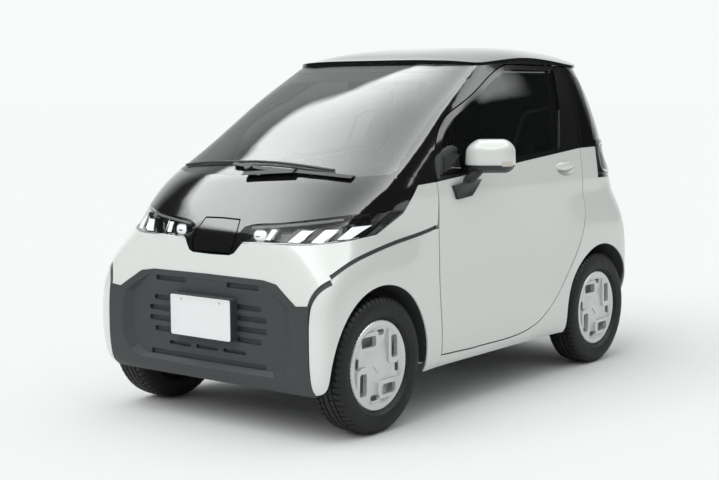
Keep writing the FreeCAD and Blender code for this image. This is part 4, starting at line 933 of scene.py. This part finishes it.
def addDash(d):
    def face(x, z):
        return touch("dashboard", (x, d["feltFrom"], z), (0, -1, 0))

    roundedBlock("instrument_hood", d["hoodRings"], frameAt(d["hood"], d["hoodFace"]), trimPlastic,
                 steps=8)
    roundedBlock("instrument_screen", d["hoodScreenRings"], frameAt(d["hoodScreen"], d["hoodFace"]), glossBlack)
    roundedBlock("middle_screen", d["screenRings"], frameAt(face(*d["screen"]), d["screenFace"]), glossBlack)
    for number, (x, wide) in enumerate(d["vents"]):
        label = f"air_vent_{number + 1}"
        spot = face(x, d["ventZ"])
        rings = [(wide - inset, high, corner, height) for inset, high, corner, height in d["ventRings"]]
        roundedBlock(label, rings, frameAt(spot, (0, 1, 0)), gripPlastic)
        half = wide - d["barIn"]
        for k in (-1, 0, 1):
            y, z = spot[1] + d["barOut"], d["ventZ"] + d["barGap"] * k
            strip(f"{label}_bar_{k + 2}", smoothPath([(spot[0] - half, y, z), (spot[0] + half, y, z)], 6),
                  roundProfile(d["barThick"], flat=0.28), (0, 0.5, 1), trimPlastic)
    roundedBlock("wheel_pad", d["padRings"], frameAt(d["wheel"], d["wheelAxis"]), trimPlastic,
                 "steering_wheel", steps=8)
    x, y, z = d["wheel"]
    for sideName, sign in bothSides[::-1]:
        lever = [(x + sign * a, y + b, z + c) for a, b, c in d["lever"]]
        strip("column_lever_" + sideName, smoothPath(lever, 12), roundProfile(d["leverThick"], flat=0.7),
              (0, 1, 0.3), gripPlastic)


addDash(dash)
print("stage: dashboard dressing")


# Door linings: arm rest, pull grip and a round speaker rim felt on each door's inner wall.
# Stops are (y, z), and the pull grip's have a lift as well.

lining = {
    "rest": [(-0.3, 0.69), (-0.12, 0.686), (0.08, 0.69), (0.3, 0.702)], "restLift": 0.004,
    "restHalf": (0.026, 0.034), "restRound": 0.6,
    "pull": [(-0.23, 0.8, 0.0), (-0.215, 0.812, 0.018), (-0.12, 0.822, 0.026), (-0.025, 0.812, 0.018),
        (-0.01, 0.8, 0.0)], "pullThick": 0.0085,
    "speaker": (-0.25, 0.47), "speakerWide": 0.072,
    "speakerRings": [(1, -0.003), (1, 0.003), (0.96, 0.006), (0.9, 0.006), (0.87, 0.002), (0.4, 0.0045)]}


def addLining(sideName, sign, d):
    # the arm rest's section is halfWide sgn(cos a) |cos a|^0.6 by halfHigh sgn(sin a) |sin a|^0.6
    body = "door_" + sideName
    inward = (-sign, 0, 0)

    def wall(y, z, lift=0.0):
        return touch(body, (0, y, z), (sign, 0, 0), lift)

    angle = np.linspace(0, 2 * np.pi, 20, endpoint=False)
    profile = np.column_stack([half * np.sign(way) * np.abs(way) ** d["restRound"]
                               for half, way in zip(d["restHalf"], (np.cos(angle), np.sin(angle)))])
    rest = [wall(y, z, d["restLift"]) for y, z in d["rest"]]
    strip("arm_rest_" + sideName, smoothPath(rest, 24), profile, inward, trimPlastic, body)
    pull = [wall(*stop) for stop in d["pull"]]
    strip("pull_grip_" + sideName, smoothPath(pull, 24), roundProfile(d["pullThick"], 12, 0.8), inward, hoopPlastic,
          body)
    roundedBlock("speaker_" + sideName, discRings(d["speakerWide"], d["speakerRings"]),
                 frameAt(wall(*d["speaker"]), inward), gripPlastic, body, steps=8)


for sideName, sign in bothSides:
    addLining(sideName, sign, lining)
print("stage: door linings")


# Black border printed on the inside of the windscreen: (x, z) of its two edges on one half

screen = {
    "outer": [(0.552, 1.028), (0.562, 1.042), (0.548, 1.089), (0.513, 1.294), (0.486, 1.425),
        (0.47, 1.437), (0.3, 1.4385), (0.0, 1.4385)],
    "inner": [(0.474, 1.026), (0.482, 1.05), (0.476, 1.095), (0.44, 1.28), (0.41, 1.366),
        (0.38, 1.388), (0.26, 1.394), (0.0, 1.394)],
    "lifts": (-0.0068, -0.0078)}


def addBorder(m):
    # every point of (1 - share) x outer edge + share x inner edge felt on the glass, once at each lift
    edges = []
    for line in (np.array(m["outer"]), np.array(m["inner"])):
        edges.append(smoothPath(np.vstack([line * [-1, 1], line[-2::-1]]), 100))
    share = np.linspace(0, 1, 5)[None, :, None]
    flat = edges[0][:, None] * (1 - share) + edges[1][:, None] * share
    sheets = [np.array([touch("windscreen", (x, tool["frontFrom"], z), (0, 1, 0), lift)
                        for x, z in flat.reshape(-1, 2)]) for lift in m["lifts"]]
    joinSheets("screen_border", sheets, *flat.shape[:2], glossBlack, "black_paint", "body")


addBorder(screen)
print("stage: windscreen border")


# The wiper's long rubber blade, lying just off the glass

blade = {
    "stops": [(-0.449, 1.024), (-0.323, 1.038), (-0.198, 1.045), (-0.084, 1.049), (0.008, 1.051), (0.138, 1.048),
        (0.272, 1.039), (0.393, 1.027)], "lift": 0.0075, "thick": 0.0062, "up": (0, -0.6, 0.8)}


def addBlade(b):
    line = [touch("windscreen", (x, tool["frontFrom"], z), (0, 1, 0), b["lift"]) for x, z in b["stops"]]
    strip("wiper_long_blade", smoothPath(line, 60), roundProfile(b["thick"], flat=0.9), b["up"], gripPlastic)


addBlade(blade)
print("stage: wiper blade")
